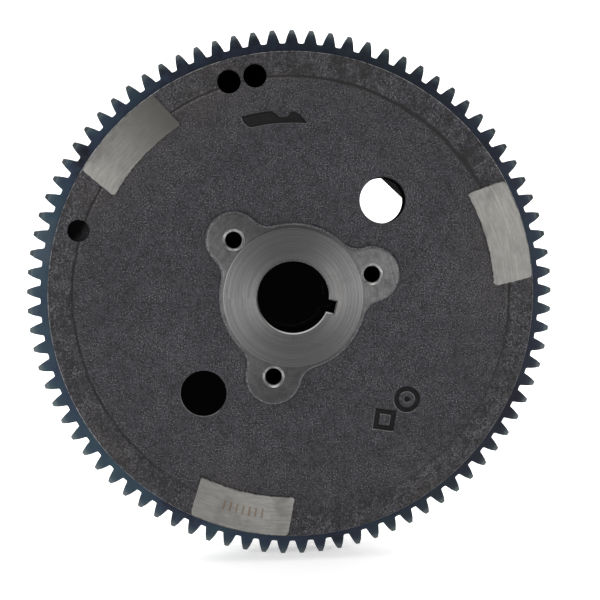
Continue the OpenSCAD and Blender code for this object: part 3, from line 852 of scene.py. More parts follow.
def disc_height(radius, degrees):
    """Height of the disc face: flat, with a raised margin, three pads whose walls are a smooth step
    of the distance from their outline, and a rounded outer corner."""
    z = FACE + MARGIN * smooth(radius, MARGIN_R - 0.25, MARGIN_R + 0.35)
    z = z - 0.5 * np.clip((radius - EDGE_R) / 0.5, 0, 1) ** 2
    off = apart(degrees, PADS[0], 120.0)
    side = np.radians(np.abs(off) - pad_side(np.clip(radius, 80, 98.4))) * radius
    corner = 1.5
    across, along = side + corner, np.maximum(PAD_R[0] - radius, radius - PAD_R[1]) + corner
    distance = np.hypot(np.maximum(across, 0), np.maximum(along, 0)) - corner
    distance = distance + np.minimum(np.maximum(across, along), 0)
    # the wall's foot wanders a little, as a cast edge does
    distance = distance + 0.13 * np.sin(degrees * 4.1 + radius * 1.9)
    distance = distance + 0.09 * np.sin(degrees * 9.7 - radius * 3.3)
    return z + (PAD_TOP - z) * (1 - smooth(distance, -0.22, 0.25))


def disc_columns():
    """Column angles: every 0.75 degrees, closer at the pads' sides and the hub's blends."""
    angles = np.arange(0.0, 360.0, 0.75)
    close = np.array([-1.4, -0.9, -0.55, -0.34, -0.17, 0.0, 0.17, 0.34, 0.55, 0.9, 1.4])
    sides = np.array([pad + s * PAD_TURN for pad in PADS for s in (-1, 1)]) % 360
    blends = np.array([lobe + s * BLEND_TURN for lobe in LOBES for s in (-1, 1)]) % 360
    gap = np.abs(apart(angles[:, None], sides[None])).min(1)
    angles = angles[gap > 1.7]
    fine = (sides[:, None] + close).ravel() % 360
    extra = (blends[:, None] + np.arange(-3.375, 3.4, 0.75)).ravel() % 360
    merged = np.sort(np.concatenate([angles, fine, extra]))
    return merged[np.r_[True, np.diff(merged) > 0.05]]


def slide(columns, radius):
    """Column angles at a radius, slid so that the close columns follow the pads' sides."""
    turn = columns[None] + np.zeros_like(radius)
    shift = (pad_side(np.clip(radius, 80.0, 98.4)) - PAD_TURN) * smooth(radius, 70.0, 79.0)
    for pad in PADS:
        for s in (-1, 1):
            gap = np.abs(apart(columns, pad + s * PAD_TURN))[None]
            turn = turn + s * shift * (1 - smooth(gap, 1.6, 6.0))
    return turn


def hole(shell, border, centre, rings, points=72, end="open"):
    """Round hole let into a border loop: rings of (radius, height or None for the disc's own
    height), carried round the centre. A point end closes on one middle point."""
    turn = np.arange(points) * 360.0 / points
    loops = []
    for radius, z in rings:
        loop = polar(radius, turn, 0.0 if z is None else z) + np.array([*centre, 0.0])
        if z is None:
            far = np.hypot(loop[:, 0], loop[:, 1])
            loop[:, 2] = disc_height(far, np.degrees(np.arctan2(loop[:, 1], loop[:, 0])))
        loops.append(loop)
    ids = shell.add(np.stack(loops))
    shell.zip(border, ids[0], centre)
    shell.grid(ids)
    if end == "point":
        depth = rings[-1][1] - rings[-1][0] / math.tan(math.radians(DRILL_POINT))
        tip = shell.add(np.array([[*centre, depth]]))
        fan = np.stack([ids[-1], np.roll(ids[-1], -1), np.broadcast_to(tip, ids[-1].shape)], -1)
        shell.faces.append(fan)
    return ids[-1]


def outline_distance(points, outline):
    """Distance from points to a closed outline, negative inside it: the smallest distance to any
    edge, with a sign from counting the edges that a level ray crosses."""
    a, b = outline, np.roll(outline, -1, 0)
    p = points[..., None, :]
    edge = b - a
    t = np.clip(((p - a) * edge).sum(-1) / np.maximum((edge**2).sum(-1), 1e-12), 0, 1)
    gap = np.linalg.norm(p - (a + t[..., None] * edge), axis=-1).min(-1)
    above = (a[:, 1] > p[..., 1]) != (b[:, 1] > p[..., 1])
    slope = np.where(np.abs(edge[:, 1]) < 1e-12, 1e-12, edge[:, 1])
    crossing = p[..., 0] < a[:, 0] + (p[..., 1] - a[:, 1]) * edge[:, 0] / slope
    return np.where((above & crossing).sum(-1) % 2 == 1, -gap, gap)


def arrow_outline():
    """Rotation arrow bent round the disc: a broad tail, a narrow neck and a pointed head."""

    def arc(radius, start, end, count):
        return polar(radius, np.linspace(start, end, count), 0.0)[:, :2]

    def spots(*pairs):
        radii, turns = np.array(pairs).T
        return polar(radii, turns, 0.0)[:, :2]

    return np.concatenate([
        arc(70.0, 84.2, 102.6, 13),
        spots((70.6, 103.6), (72.5, 104.7)),
        arc(75.0, 104.9, 95.6, 8),
        spots((74.2, 94.7), (72.6, 93.4)),
        arc(72.1, 92.9, 90.7, 3),
        spots((73.6, 89.9), (74.3, 89.2), (74.2, 88.1), (72.9, 86.4)),
    ])


def foundry_marks(points):
    """Distance to the two foundry marks: a ring with a dot, and an open square on its corner."""
    first, second = (points - polar(MARKS_AT, turn, 0.0)[:2] for turn in MARKS)
    far = np.linalg.norm(first, axis=-1)
    ring = np.minimum(np.abs(far - 4.35) - 0.95, far - 1.14)
    turn = math.radians(MARKS[1] - 90.0 + 45.0)
    u = np.abs(second[..., 0] * math.cos(turn) + second[..., 1] * math.sin(turn))
    v = np.abs(second[..., 1] * math.cos(turn) - second[..., 0] * math.sin(turn))
    square = np.abs(np.maximum(u, v) - 3.29) - 0.95
    return np.minimum(ring, square)


def sunk_patch(shell, border, radii, angles, distance):
    """Fine patch of the disc face that sinks by the mark depth where the distance is negative."""
    points = polar(radii[:, None], angles[None], FACE)
    points[..., 2] -= MARK_DEPTH * (1 - smooth(distance(points[..., :2]), -0.38, 0.28))
    ids = shell.add(points)
    shell.grid(ids, wrap=False)
    shell.zip(border, outer_loop(ids), None, square=True)


def rear_profile():
    """Half section behind the gear seat, as (radius, height) with rounded corners."""
    corners = np.array([
        (SEAT_R, -6, 0), (SEAT_R, GEAR_REAR, 0.1), (SHOULDER_R, GEAR_REAR, 0.4), (SHOULDER_R, -15, 0.5),
        (99.025, INSERT_Z[0], 0), (RIM_R, -19, 0.8), (RIM_R, INSERT_Z[1], 0),
        (RIM_R, RIM_REAR, 0.9), (RIM_BORE_R, RIM_REAR, 0.9), (RIM_BORE_R, RING_Z[1], 0.25),
        (MAGNET_SEAT_R, RING_Z[1], 0.3), (MAGNET_SEAT_R, -4, 0.3), (CAVITY_R, -4, 0.3),
        (CAVITY_R - 0.2, WEB_REAR, 0.1), (BOSS_R, WEB_REAR, 1.4), (BOSS_R, -10, 1.6),
        (FLANGE_R, -10, 1.8), (FLANGE_R, HUB_REAR, 1.2), (20, HUB_REAR, 0),
    ], float)
    return densify(round_corners(corners[:, :2], corners[:, 2], 4), 4.0)


def nearest(values, target):
    """Number of the value that lies nearest to the target."""
    return int(np.abs(np.asarray(values) - target).argmin())


def front_rows(columns):
    """Rows of the front from the bore outwards: a radius for every column, a height or None for the
    disc's own height, and the numbers of the named rows."""
    flat = np.zeros_like(columns)
    rows, levels, names = [], [], {}

    def row(radius, z, name=None):
        if name:
            names[name] = len(rows)
        rows.append(radius + flat)
        levels.append(z)

    for radius in (20.0, 24.0, 27.6, 28.05):
        row(radius, HUB_TOP)
    row(TURNED_R, HUB_TOP - 0.06)
    row(TURNED_R + 0.15, LOBE_TOP, "ring")
    top = hub_radius(columns, -1.0)
    for share in (0.33, 0.67):
        row(28.35 + (top - 28.35) * share, LOBE_TOP)
    row(top, LOBE_TOP, "lobe")
    for grow in (-0.45, -0.1, 0.25, 0.6, 0.95, 1.3):
        drop = smooth(grow, -0.45, 1.3)
        row(hub_radius(columns, grow), LOBE_TOP + (FACE - LOBE_TOP) * drop)
    foot = hub_radius(columns, 2.2)
    row(foot, FACE)
    for share in (0.2, 0.4, 0.6, 0.8, 1.0):
        row(foot + (50.0 - foot) * share, None, "web_in" if share == 0.6 else None)
    for radius in [*np.arange(52.0, 80.1, 2.0), 81.0, 81.5, 81.72, 81.85, 81.98, 82.12, 82.35, 83.0, 84.0,
                   85.5, 87.0, 88.3, 88.75, 88.95, 89.15, 89.4, 90.0, 91.5, 93.0, 94.5, 96.0, 97.0,
                   97.5, 97.7, 97.85, 98.0, 98.12, 98.25, 98.4]:
        row(radius, None, f"r{radius:g}")
    return np.stack(rows), levels, names


def casting_front(shell, columns):
    """Front as a polar grid, without the blocks that the holes and marks replace. Gives the numbers
    of its points and the borders of those blocks."""
    radius, levels, names = front_rows(columns)
    turn = slide(columns, radius)
    z = np.stack([disc_height(r, t) if level is None else np.full_like(r, level)
                  for r, t, level in zip(radius, turn, levels)])
    front = shell.add(polar(radius, turn, z))
    keep = np.ones((len(radius) - 1, len(columns)), bool)
    borders = {}

    def opening(name, first, last, start, end):
        i, m = names[first], names[last]
        j, n = nearest(columns, start), nearest(columns, end)
        keep[i:m, j:n] = False
        borders[name] = block(front, (i, m), (j, n))

    for k, angle in enumerate(LOBES):
        opening(f"tap{k}", "ring", "lobe", angle - 10.5, angle + 10.5)
    for k, angle in enumerate(WEB_HOLES):
        opening(f"web{k}", "web_in", "r64", angle - 11.5, angle + 11.75)
    opening("balance0", "r84", "r96", 94.5, 102.0)
    opening("balance1", "r84", "r96", 102.0, 109.5)
    opening("spot", "r84", "r96", 157.5, 165.75)
    opening("arrow", "r68", "r78", 82.5, 107.25)
    opening("marks", "r56", "r70", 299.25, 323.25)
    shell.grid(front, keep=keep)
    return front, borders


def casting_rear(shell, seat, bore):
    """Turned rear, joined to the last loops of the gear seat and the bore. Two columns bend to follow
    the sides of the insert's pocket, whose floor is the block between them, moved to one flat. Gives
    the borders of the web holes."""
    profile = rear_profile()
    half = math.degrees(math.asin(INSERT_HALF / RIM_R))
    back_columns = np.arange(0.0, 360.0, 1.5)
    back_columns[nearest(back_columns, INSERT - half)] = INSERT - half
    back_columns[nearest(back_columns, INSERT + half)] = INSERT + half
    points = polar(profile[:, :1], back_columns[None], profile[:, 1:])
    outer = np.arange(len(profile)) < nearest(profile[:, 1], RIM_REAR)
    pocket_rows = [np.flatnonzero(outer & (np.abs(profile[:, 1] - z) < 1e-4))[0] for z in INSERT_Z]
    pocket_columns = [nearest(back_columns, INSERT + s * half) for s in (-1, 1)]
    radial = polar(1.0, INSERT, 0.0)
    aside = polar(1.0, INSERT + 90, 0.0)
    for s, column in zip((-1, 1), pocket_columns):
        span = slice(pocket_rows[0], pocket_rows[1] + 1)
        depth = np.sqrt(profile[span, 0] ** 2 - INSERT_HALF**2)[:, None]
        points[span, column, :2] = (depth * radial + s * INSERT_HALF * aside)[:, :2]
    back = shell.add(points)
    keep = np.ones((len(profile) - 1, len(back_columns)), bool)
    keep[pocket_rows[0]:pocket_rows[1], pocket_columns[0]:pocket_columns[1]] = False
    web = np.flatnonzero(np.abs(profile[:, 1] - WEB_REAR) < 1e-6)
    web_borders = []
    for angle in WEB_HOLES:
        span = (nearest(back_columns, angle - 11.5), nearest(back_columns, angle + 11.0))
        keep[web[0]:web[-1], span[0]:span[1]] = False
        web_borders.append(block(back, (web[0], web[-1]), span))
    shell.grid(back, keep=keep)
    shell.zip(seat, back[0], (0.0, 0.0))
    shell.zip(bore, back[-1], (0.0, 0.0))
    inner = points[pocket_rows[0]:pocket_rows[1] + 1, pocket_columns[0]:pocket_columns[1] + 1].copy()
    side = (inner @ aside)[..., None]
    inner[..., :2] = (INSERT_FLOOR * radial + side * aside)[..., :2]
    floor = shell.add(inner)
    shell.grid(floor, wrap=False)
    shell.grid(np.stack([block(back, pocket_rows, pocket_columns), outer_loop(floor)]))
    return web_borders


def casting_holes(shell, borders, web_borders):
    """Tapped, web and drilled holes, the shallow spot, and the sunk arrow and marks."""
    sink = LOBE_TOP - (TAP_SINK_R - TAP_R)
    thread = [
        (TAP_R - THREAD_DEPTH / 2 * (1 + math.cos(math.pi / 2 * n)), sink - THREAD_STEP * n)
        for n in range(1, 27)
    ]
    for k, angle in enumerate(LOBES):
        centre = polar(BOLT_R, angle, 0.0)[:2]
        rings = [(TAP_SINK_R + 0.1, LOBE_TOP), (TAP_SINK_R, LOBE_TOP - 0.07), (TAP_R, sink)]
        foot = (TAP_R - 0.2, LOBE_TOP - TAP_DEPTH)
        hole(shell, borders[f"tap{k}"], centre, [*rings, *thread, foot], 56, "point")
    for k, angle in enumerate(WEB_HOLES):
        centre = polar(WEB_HOLE_AT, angle, 0.0)[:2]
        rings = [(WEB_HOLE_R + 0.85, FACE), (WEB_HOLE_R + 0.3, FACE), (WEB_HOLE_R + 0.08, FACE - 0.1),
                 (WEB_HOLE_R, FACE - 0.35), (WEB_HOLE_R, 4.0), (WEB_HOLE_R, WEB_REAR)]
        last = hole(shell, borders[f"web{k}"], centre, rings, 108)
        shell.zip(web_borders[k], last, centre)
    for k, angle in enumerate(BALANCE):
        centre = polar(BALANCE_AT, angle, 0.0)[:2]
        rings = [(BALANCE_R + 0.3, None), (BALANCE_R + 0.1, None), (BALANCE_R, 8.6), (BALANCE_R, 0.0),
                 (BALANCE_R, FACE + MARGIN - BALANCE_DEPTH)]
        hole(shell, borders[f"balance{k}"], centre, rings, 72, "point")
    centre = polar(BALANCE_AT, SPOT, 0.0)[:2]
    rings = [(SPOT_R + 0.3, None), (SPOT_R + 0.08, None), (SPOT_R - 0.05, 8.7), (SPOT_R - 0.1, 8.3)]
    hole(shell, borders["spot"], centre, rings, 72, "point")
    arrow = arrow_outline()
    radii, angles = np.arange(68.6, 77.5, 0.3), np.arange(83.1, 106.7, 0.25)
    sunk_patch(shell, borders["arrow"], radii, angles, lambda p: outline_distance(p, arrow))
    radii, angles = np.arange(56.7, 69.4, 0.33), np.arange(299.9, 322.7, 0.3)
    sunk_patch(shell, borders["marks"], radii, angles, foundry_marks)


def make_casting(finish):
    """The whole casting as one closed surface: a polar grid for the front, a turned profile for the
    rear, and patches for the holes, the marks and the insert's pocket."""
    shell = Shell()
    columns = disc_columns()
    front, borders = casting_front(shell, columns)
    # bore with its keyway, joined to the first row
    bore = shell.add(np.stack([
        bore_outline(columns, grow, z) for grow, z in (
            (0.6, HUB_TOP), (0.5, HUB_TOP - 0.06), (0.1, HUB_TOP - 0.46), (0.0, HUB_TOP - 0.6),
            (0.0, 0.0), (0.0, HUB_REAR + 0.6), (0.5, HUB_REAR))
    ]))
    shell.grid(bore)
    shell.grid(np.stack([bore[0], front[0]]))
    # disc edge and gear seat
    edge = shell.add(np.stack([polar(SEAT_R, columns, level) for level in (8.7, 0.4, -2.0)]))
    shell.grid(np.concatenate([front[-1:], edge]))
    web_borders = casting_rear(shell, edge[-1], bore[-1])
    casting_holes(shell, borders, web_borders)
    shell.build("cast_flywheel_body", finish, "cast_iron", ["flywheel_casting"], 50.0)


# ---- starter ring gear ----


def tooth_line():
    """One tooth as (angle, radius) points from a gap's middle to the next: a round root, involute
    flanks, rounded corners and a crown. The involute gives the half angle at each radius."""
    base = TEETH * MODULE / 2 * math.cos(math.radians(20))
    pitch = TEETH * MODULE / 2

    def involute(radius):
        return np.sqrt((radius / base) ** 2 - 1) - np.arccos(base / radius)

    def half(radius):
        return (math.pi * MODULE / 2 - 0.3) / 2 / pitch + involute(pitch) - involute(radius)

    flank = np.linspace(ROOT_R + 0.9, TIP_R - 0.42, 7)
    gap = math.pi / TEETH
    foot = half(ROOT_R + 0.9)
    root = [(-gap, ROOT_R), (-foot - 0.0042, ROOT_R + 0.06), (-foot - 0.0022, ROOT_R + 0.25),
            (-foot - 0.0008, ROOT_R + 0.55)]
    nose = half(TIP_R - 0.2)
    crown = [(-nose + 0.0002, TIP_R - 0.2), (-nose + 0.0012, TIP_R - 0.06), (-nose * 0.68, TIP_R)]
    rise = np.array([*root, *zip(-half(flank), flank), *crown])
    fall = rise[::-1][:-1] * [-1, 1]
    return np.concatenate([rise, [(0.0, TIP_R)], fall])


def make_ring_gear(finish):
    """Tooth line repeated round the ring and carried along the axis. The radius at each height is
    the smaller of the tooth line and a blank with a bevelled front and a broken rear corner."""
    shell = Shell()
    line = tooth_line()
    pitch = 360.0 / TEETH
    turn = (np.degrees(line[None, :, 0]) + np.arange(TEETH)[:, None] * pitch).ravel()
    radius = np.tile(line[:, 1], TEETH)
    heights = np.array([0.0, -0.04, -0.2, -0.7, -1.2, -1.5, -6.0, -11.3, -11.6, -11.9, GEAR_REAR])
    blank = np.interp(-heights, [0, 1.2, 11.5, 12], [TIP_R - 1.8, TIP_R + 0.1, TIP_R + 0.1, TIP_R - 0.4])
    inset = np.array([0.16, 0.04, 0, 0, 0, 0, 0, 0, 0, 0.03, 0.14])
    outline = np.minimum(radius[None], blank[:, None]) - inset[:, None]
    rows = np.concatenate([
        np.stack([radius * 0 + r for r in (SEAT_R + 0.25, 99.6, ROOT_R - 0.3)]),
        outline,
        np.stack([radius * 0 + r for r in (ROOT_R - 0.3, SEAT_R + 0.2, SEAT_R + 0.03, SEAT_R + 0.03)]),
    ])
    level = np.r_[0.0, 0.0, 0.0, heights, GEAR_REAR, GEAR_REAR, GEAR_REAR + 0.2, -0.25]
    ids = shell.add(polar(rows, turn[None], level[:, None]))
    shell.grid(np.concatenate([ids, ids[:1]]))
    shell.build("toothed_starter_ring", finish, "blued_steel", ["starter_ring_gear"], 38.0)


# ---- rear pieces ----


def magnet_line():
    """Magnet outline: a flat inner face, two sides and a back on the rim bore's arc."""
    half = MAGNET_HALF
    y = np.linspace(half, -half, 15)
    back = np.stack([np.sqrt(MAGNET_BACK**2 - y**2), y], -1)
    corners = np.concatenate([[(MAGNET_FACE, -half), (MAGNET_FACE, half)], back])[::-1]
    reach = np.r_[0.7, np.zeros(13), 0.7, 0.9, 0.9]
    return round_corners(corners, reach, 3, closed=True)


def pan_screw(shell, centre, seat, cross_turn):
    """Cheese head with a dished top and a cross recess, on its shank: a turned profile whose top
    sinks where a point is inside either slot of the cross."""
    head, tall, shank = 3.2, 2.2, 1.95
    top = seat - tall
    profile = np.array([
        (0.02, top), (0.35, top), (0.7, top), (1.05, top), (1.4, top), (1.7, top), (1.9, top),
        (2.1, top + 0.01), (2.5, top + 0.04), (2.85, top + 0.12), (3.1, top + 0.32), (head, top + 0.62),
        (head, seat - 0.05), (head - 0.1, seat), (shank, seat), (shank, seat + 10.5),
        (1.4, seat + 11.2), (0.02, seat + 11.2),
    ])
    ids = revolve(shell, profile, 64, centre)
    points = shell.blocks[-1].reshape(*ids.shape, 3)
    near = points[:9, :, :2] - np.asarray(centre)
    turn = math.radians(cross_turn)
    u = near[..., 0] * math.cos(turn) + near[..., 1] * math.sin(turn)
    v = near[..., 1] * math.cos(turn) - near[..., 0] * math.sin(turn)

    def slot(along, aside):
        return (1 - smooth(np.abs(aside), 0.3, 0.48)) * (1 - smooth(np.abs(along), 1.7, 2.05))

    points[:9, :, 2] += 1.3 * np.maximum(slot(u, v), slot(v, u))
    shell.grid(ids)
    shell.cap(ids[0])
    shell.cap(ids[-1])


def make_magnets(finish, edge):
    """The magnet outline, extruded and turned to each magnet's place."""
    line = magnet_line()
    for name in MAGNETS:
        place = int(name.rsplit("_", 1)[1])
        shell = Shell()
        prism(shell, line, *MAGNET_Z, edge, MAGNET_TURN[0] + MAGNET_TURN[1] * (place - 1))
        shell.build(f"rounded_magnet_{place}", finish, "ferrite", [name], 35.0)


def washer(shell, radii, levels, edge, steps, columns, centre=(0.0, 0.0)):
    """Flat ring: a rectangle of radii and heights with rounded corners, turned round its centre."""
    (inner, outer), (low, high) = radii, levels
    corners = [(inner, low), (outer, low), (outer, high), (inner, high)]
    ids = revolve(shell, round_corners(corners, [edge] * 4, steps, closed=True), columns, centre)
    shell.grid(np.concatenate([ids, ids[:1]]))


def make_retaining_ring(plate, steel, edge):
    """The ring, and a washer and a screw at each of its six holes."""
    ring, washers, screws = Shell(), Shell(), Shell()
    washer(ring, RING_R, RING_Z, edge, 4, 240)
    for k, centre in enumerate(polar(RING_SCREW_R, (np.arange(6) + 0.5) * 60.0, 0.0)[:, :2]):
        washer(washers, WASHER_R, WASHER_Z, 0.12, 2, 48, centre)
        pan_screw(screws, centre, WASHER_Z[0], 37.0 * k)
    ring.build("plated_retaining_ring", plate, "plated_steel", ["magnet_retaining_ring"])
    washers.build("plated_washers", plate, "plated_steel", ["retaining_ring_washers"])
    screws.build("cross_recess_screws", steel, "screw_steel", ["retaining_ring_screws"])


def repaint(finish, *nodes):
    """Gives CAD nodes a detailed finish and leaves their meshes alone."""
    for node in nodes:
        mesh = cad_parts[node].data
        mesh.materials.clear()
        mesh.materials.append(finish)


# ---- stage ----

SOFT_BOXES = {
    # place, aim, width, height and power
    "left_box": ((-0.68, -0.95, 0.2), (0.0, 0.0, 0.0), 0.45, 0.8, 5.5),
    "right_box": ((0.66, -0.95, 0.1), (0.0, 0.0, 0.0), 0.45, 0.8, 4.5),
    "top_box": ((-0.2, -0.15, 1.5), (0.0, 0.1, 0.0), 1.6, 1.2, 8.0),
    "rear_left_box": ((-0.8, 0.75, 0.7), (0.0, 0.0, 0.0), 0.6, 0.6, 7.0),
    "rear_right_box": ((0.8, 0.8, 0.5), (0.0, 0.0, 0.0), 0.6, 0.8, 7.0),
}


def make_backdrop(tone):
    """Floor that curves up into a backdrop: a profile of (depth, height) carried along X."""
    base = extent("starter_ring_gear", 2)[0] - 0.05
    near, far, tall, bend, half = -1600.0, 900.0, 2200.0, 420.0, 2400.0
    profile = round_corners([(near, base), (far, base), (far, base + tall)], [0.0, bend, 0.0], 24)
    depth, height = profile.T[..., None]
    shell = Shell()
    shell.grid(shell.add(np.stack(np.broadcast_arrays([[-half, half]], height, -depth), -1)), wrap=False)
    mesh = bpy.data.meshes.new("backdrop")
    mesh.from_pydata(put(shell.points).tolist(), [], np.concatenate(shell.faces).tolist())
    mesh.polygons.foreach_set("use_smooth", np.ones(len(mesh.polygons), bool))
    paper = Finish("backdrop_paper", Roughness=0.95, Specular_IOR_Level=0.1)
    paper.set(Emission_Color=grey(1.0), Emission_Strength=0.5)
    fibre = paper.noise(2.0, 3.0)
    mesh.materials.append(paper.set(Base_Color=paper.mix(fibre, tone, [0.985 * c for c in tone])))
    new_object("backdrop", mesh)


def make_shade_card(name, centre, radius, z):
    """Round black card of painted shade that only the camera sees, and only from the front."""
    points = 48
    mesh = bpy.data.meshes.new(name)
    loop = polar(radius, np.arange(points) * 360.0 / points, z) + np.array([*centre, 0.0])
    mesh.from_pydata(put(loop).tolist(), [], [list(range(points))])
    material = bpy.data.materials.new(name + "_black")
    nodes = Nodes(material)
    black = nodes.add("ShaderNodeEmission", None, {0: (0.0012, 0.0012, 0.0013)})
    clear = nodes.add("ShaderNodeBsdfTransparent")
    rear = nodes.add("ShaderNodeNewGeometry", output="Backfacing")
    nodes.join(nodes.add("ShaderNodeMixShader", None, {0: rear, 1: black, 2: clear}), nodes.out)
    mesh.materials.append(material)
    piece = new_object(name, mesh)
    for ray in ("diffuse", "glossy", "transmission", "volume_scatter", "shadow"):
        setattr(piece, "visible_" + ray, False)


def light_room(strength):
    """White all round for the camera, with the room's own strength as a light on the object."""
    world = bpy.data.worlds.new("room")
    bpy.context.scene.world = world
    nodes = Nodes(world, "ShaderNodeOutputWorld")
    seen = nodes.add("ShaderNodeLightPath", output="Is Camera Ray")
    level = nodes.add("ShaderNodeMapRange", None, {"Value": seen, "To Min": strength})
    nodes.join(nodes.add("ShaderNodeBackground", None, {0: grey(1.0), 1: level}), nodes.out)
    for name, (place, aim, width, height, power) in SOFT_BOXES.items():
        light = bpy.data.lights.new(name, "AREA")
        light.shape = "RECTANGLE"
        light.size, light.size_y = width, height
        light.energy = power
        lamp = new_object(name, light)
        lamp.visible_camera = False
        away = (Vector(place) - Vector(aim)).normalized()
        lamp.matrix_world = Matrix.Translation(place) @ away.to_track_quat("Z", "Y").to_matrix().to_4x4()


def set_camera(stage):
    """Camera that looks from its place to its aim, rolled about that line."""
    camera = bpy.data.cameras.new("camera")
    camera.lens = stage.lens
    camera.sensor_width = 36.0
    camera.clip_start = 0.01
    place = Vector(stage.camera_place)
    away = (place - Vector(stage.camera_aim)).normalized()
    right = Vector((0.0, 0.0, 1.0)).cross(away).normalized()
    axes = Matrix((right, away.cross(right), away)).transposed() @ Matrix.Rotation(stage.camera_roll, 3, "Z")
    eye = new_object("camera", camera)
    eye.matrix_world = Matrix.Translation(place) @ axes.to_4x4()
    bpy.context.scene.camera = eye


# ---- settings ----


def length(name, description, default, shortest, longest):
    """Setting for a small length, in metres."""
    return bpy.props.FloatProperty(
        name=name, description=description, default=default, min=shortest, max=longest,
        unit="LENGTH", subtype="DISTANCE",
    )


def point(name, description, default):
    """Setting for a place, in metres."""
    return bpy.props.FloatVectorProperty(
        name=name, description=description, default=default, size=3, unit="LENGTH", subtype="TRANSLATION"
    )


def tint(name, description, default):
    """Setting for a colour."""
    return bpy.props.FloatVectorProperty(
        name=name, description=description, default=default, size=3, min=0.0, max=1.0, subtype="COLOR"
    )


class FlywheelSizes(bpy.types.PropertyGroup):
    groove_pitch: length("Groove pitch", "Pitch of the hub face's turning grooves", 0.0006, 0.0002, 0.003)
    magnet_edge: length("Magnet edge", "Radius of the magnets' rounded edges", 0.0005, 0.0001, 0.002)
    ring_edge: length("Ring edge", "Radius of the retaining ring's rounded edges", 0.0003, 0.0001, 0.0009)


class FlywheelColours(bpy.types.PropertyGroup):
    cast_skin: tint("Cast skin", "Blasted iron skin", (0.0178, 0.0173, 0.0215))
    cast_shadow: tint("Cast shadow", "Hollows of the iron skin", (0.004, 0.004, 0.005))
    cast_speckle: tint("Cast speckle", "Light grains in the iron skin", (0.118, 0.116, 0.126))
    cast_rust: tint("Cast rust", "Brownish cast near the disc edge", (0.034, 0.028, 0.024))
    turned_dark: tint("Turned dark", "Darker turning rings of the hub", (0.118, 0.117, 0.122))
    turned_light: tint("Turned light", "Lighter turning rings of the hub", (0.188, 0.184, 0.18))
    pad_dark: tint("Pad dark", "Darker strokes of the ground pads", (0.198, 0.194, 0.182))
    pad_light: tint("Pad light", "Lighter strokes of the ground pads", (0.272, 0.266, 0.25))
    pad_stain: tint("Pad stain", "Dull areas of the ground pads", (0.132, 0.128, 0.124))
    tick_stain: tint("Tick stain", "Etched ticks on the lowest pad", (0.13, 0.08, 0.045))
    # partly bare metal, partly a painted highlight
    edge_bare_and_highlight: tint("Edge", "Bare line at the disc edge", (0.3, 0.31, 0.31))
    blued_dark: tint("Blued dark", "Darkest patches of the blued gear", (0.009, 0.009, 0.013))
    blued_purple: tint("Blued purple", "Purple-black band next to the disc", (0.021, 0.018, 0.027))
    blued: tint("Blued", "Navy patches of the blued gear", (0.023, 0.033, 0.056))
    blued_teal: tint("Blued teal", "Teal patches of the blued gear", (0.025, 0.046, 0.062))
    blued_light: tint("Blued light", "Lighter patches of the blued gear", (0.046, 0.061, 0.08))
    tooth_face: tint("Tooth face", "Greenish grey of the teeth", (0.056, 0.076, 0.083))
    tooth_tip: tint("Tooth tip", "Worn tips and bevels of the teeth", (0.14, 0.16, 0.16))


class FlywheelStage(bpy.types.PropertyGroup):
    camera_place: point("Camera place", "Where the camera stands", (-0.016416, -0.422598, 0.024144))
    camera_aim: point("Camera aim", "Point that the camera looks at", (0.003225, 0.0, -0.001865))
    camera_roll: bpy.props.FloatProperty(
        name="Camera roll", description="Turn of the camera about its line of sight",
        default=math.radians(-1.124), unit="ROTATION", subtype="ANGLE",
    )
    lens: bpy.props.FloatProperty(
        name="Lens", description="Focal length on a 36 mm sensor",
        default=61.406, min=10.0, max=300.0, unit="CAMERA",
    )
    room: bpy.props.FloatProperty(
        name="Room light", description="Strength of the even light from all round",
        default=0.3, min=0.0, max=3.0,
    )
    floor_tone: tint("Floor", "Pale floor and backdrop", (0.9, 0.9, 0.9))


GROUPS = {"sizes": FlywheelSizes, "colours": FlywheelColours, "stage": FlywheelStage}


def settings(group):
    """The scene's values of one group of settings."""
    return getattr(bpy.context.scene, "flywheel_" + group)


# ---- steps ----


class MakeCasting(bpy.types.Operator):
    """Build the iron casting with its hub, pads, marks and holes"""

    bl_idname = "flywheel.casting"
    bl_label = "Casting"

    def execute(self, context):
        make_casting(cast_iron(settings("colours"), settings("sizes").groove_pitch))
        return {"FINISHED"}


class MakeRingGear(bpy.types.Operator):
    """Build the blued starter ring gear"""

    bl_idname = "flywheel.ring_gear"
    bl_label = "Ring gear"

    def execute(self, context):
        make_ring_gear(blued_steel(settings("colours")))
        return {"FINISHED"}


class MakeMagnets(bpy.types.Operator):
    """Build the twelve alternator magnets and finish their cage"""

    bl_idname = "flywheel.magnets"
    bl_label = "Magnets and cage"

    def execute(self, context):
        make_magnets(ferrite(), settings("sizes").magnet_edge * MM)
        repaint(cage_plastic(), "magnet_cage")
        return {"FINISHED"}


class MakeRetainingRing(bpy.types.Operator):
    """Build the retaining ring with its washers and cross-recess screws"""

    bl_idname = "flywheel.retaining_ring"
    bl_label = "Retaining ring"

    def execute(self, context):
        make_retaining_ring(plated_steel(), screw_steel(), settings("sizes").ring_edge * MM)
        return {"FINISHED"}


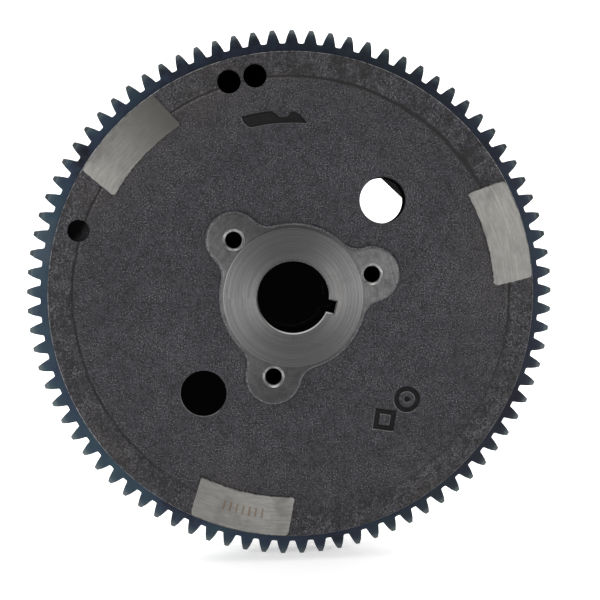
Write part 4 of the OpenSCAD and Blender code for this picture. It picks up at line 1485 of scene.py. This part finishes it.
class FinishInsert(bpy.types.Operator):
    """Give the ignition magnet, its pole shoes and their screws their finishes"""

    bl_idname = "flywheel.ignition_insert"
    bl_label = "Ignition insert"

    def execute(self, context):
        repaint(magnet_alloy(), "ignition_magnet")
        repaint(pole_steel(), "leading_pole_shoe", "trailing_pole_shoe")
        repaint(bpy.data.materials["screw_steel_finish"], "pole_shoe_screws")
        return {"FINISHED"}


class SetStage(bpy.types.Operator):
    """Set the pale floor, the soft lights, the black cards of painted shade behind two openings and the
    camera
    """

    bl_idname = "flywheel.stage"
    bl_label = "Stage"

    def execute(self, context):
        stage = settings("stage")
        context.scene.view_settings.view_transform = "Standard"
        make_backdrop(stage.floor_tone)
        make_shade_card("bore_shade", (0.0, 0.0), KEY[2] + 0.9, HUB_REAR - 0.4)
        web_hole = polar(WEB_HOLE_AT, WEB_HOLES[1], 0.0)[:2]
        make_shade_card("web_hole_shade", web_hole, WEB_HOLE_R + 0.3, WEB_REAR - 0.3)
        light_room(stage.room)
        set_camera(stage)
        return {"FINISHED"}


STEPS = (MakeCasting, MakeRingGear, MakeMagnets, MakeRetainingRing, FinishInsert, SetStage)


class FlywheelPanel(bpy.types.Panel):
    bl_idname = "VIEW3D_PT_flywheel"
    bl_label = "Flywheel"
    bl_space_type = "VIEW_3D"
    bl_region_type = "UI"
    bl_category = "Flywheel"

    def draw(self, context):
        for group, kind in GROUPS.items():
            for name in kind.__annotations__:
                self.layout.prop(settings(group), name)
        for step in STEPS:
            self.layout.operator(step.bl_idname)


CLASSES = (*GROUPS.values(), *STEPS, FlywheelPanel)


def register():
    for cls in CLASSES:
        bpy.utils.register_class(cls)
    for group, kind in GROUPS.items():
        setattr(bpy.types.Scene, "flywheel_" + group, bpy.props.PointerProperty(type=kind))


def unregister():
    for group in GROUPS:
        delattr(bpy.types.Scene, "flywheel_" + group)
    for cls in reversed(CLASSES):
        bpy.utils.unregister_class(cls)


def main():
    register()
    for step in STEPS:
        group, name = step.bl_idname.split(".")
        getattr(getattr(bpy.ops, group), name)()


if __name__ == "__main__":
    main()
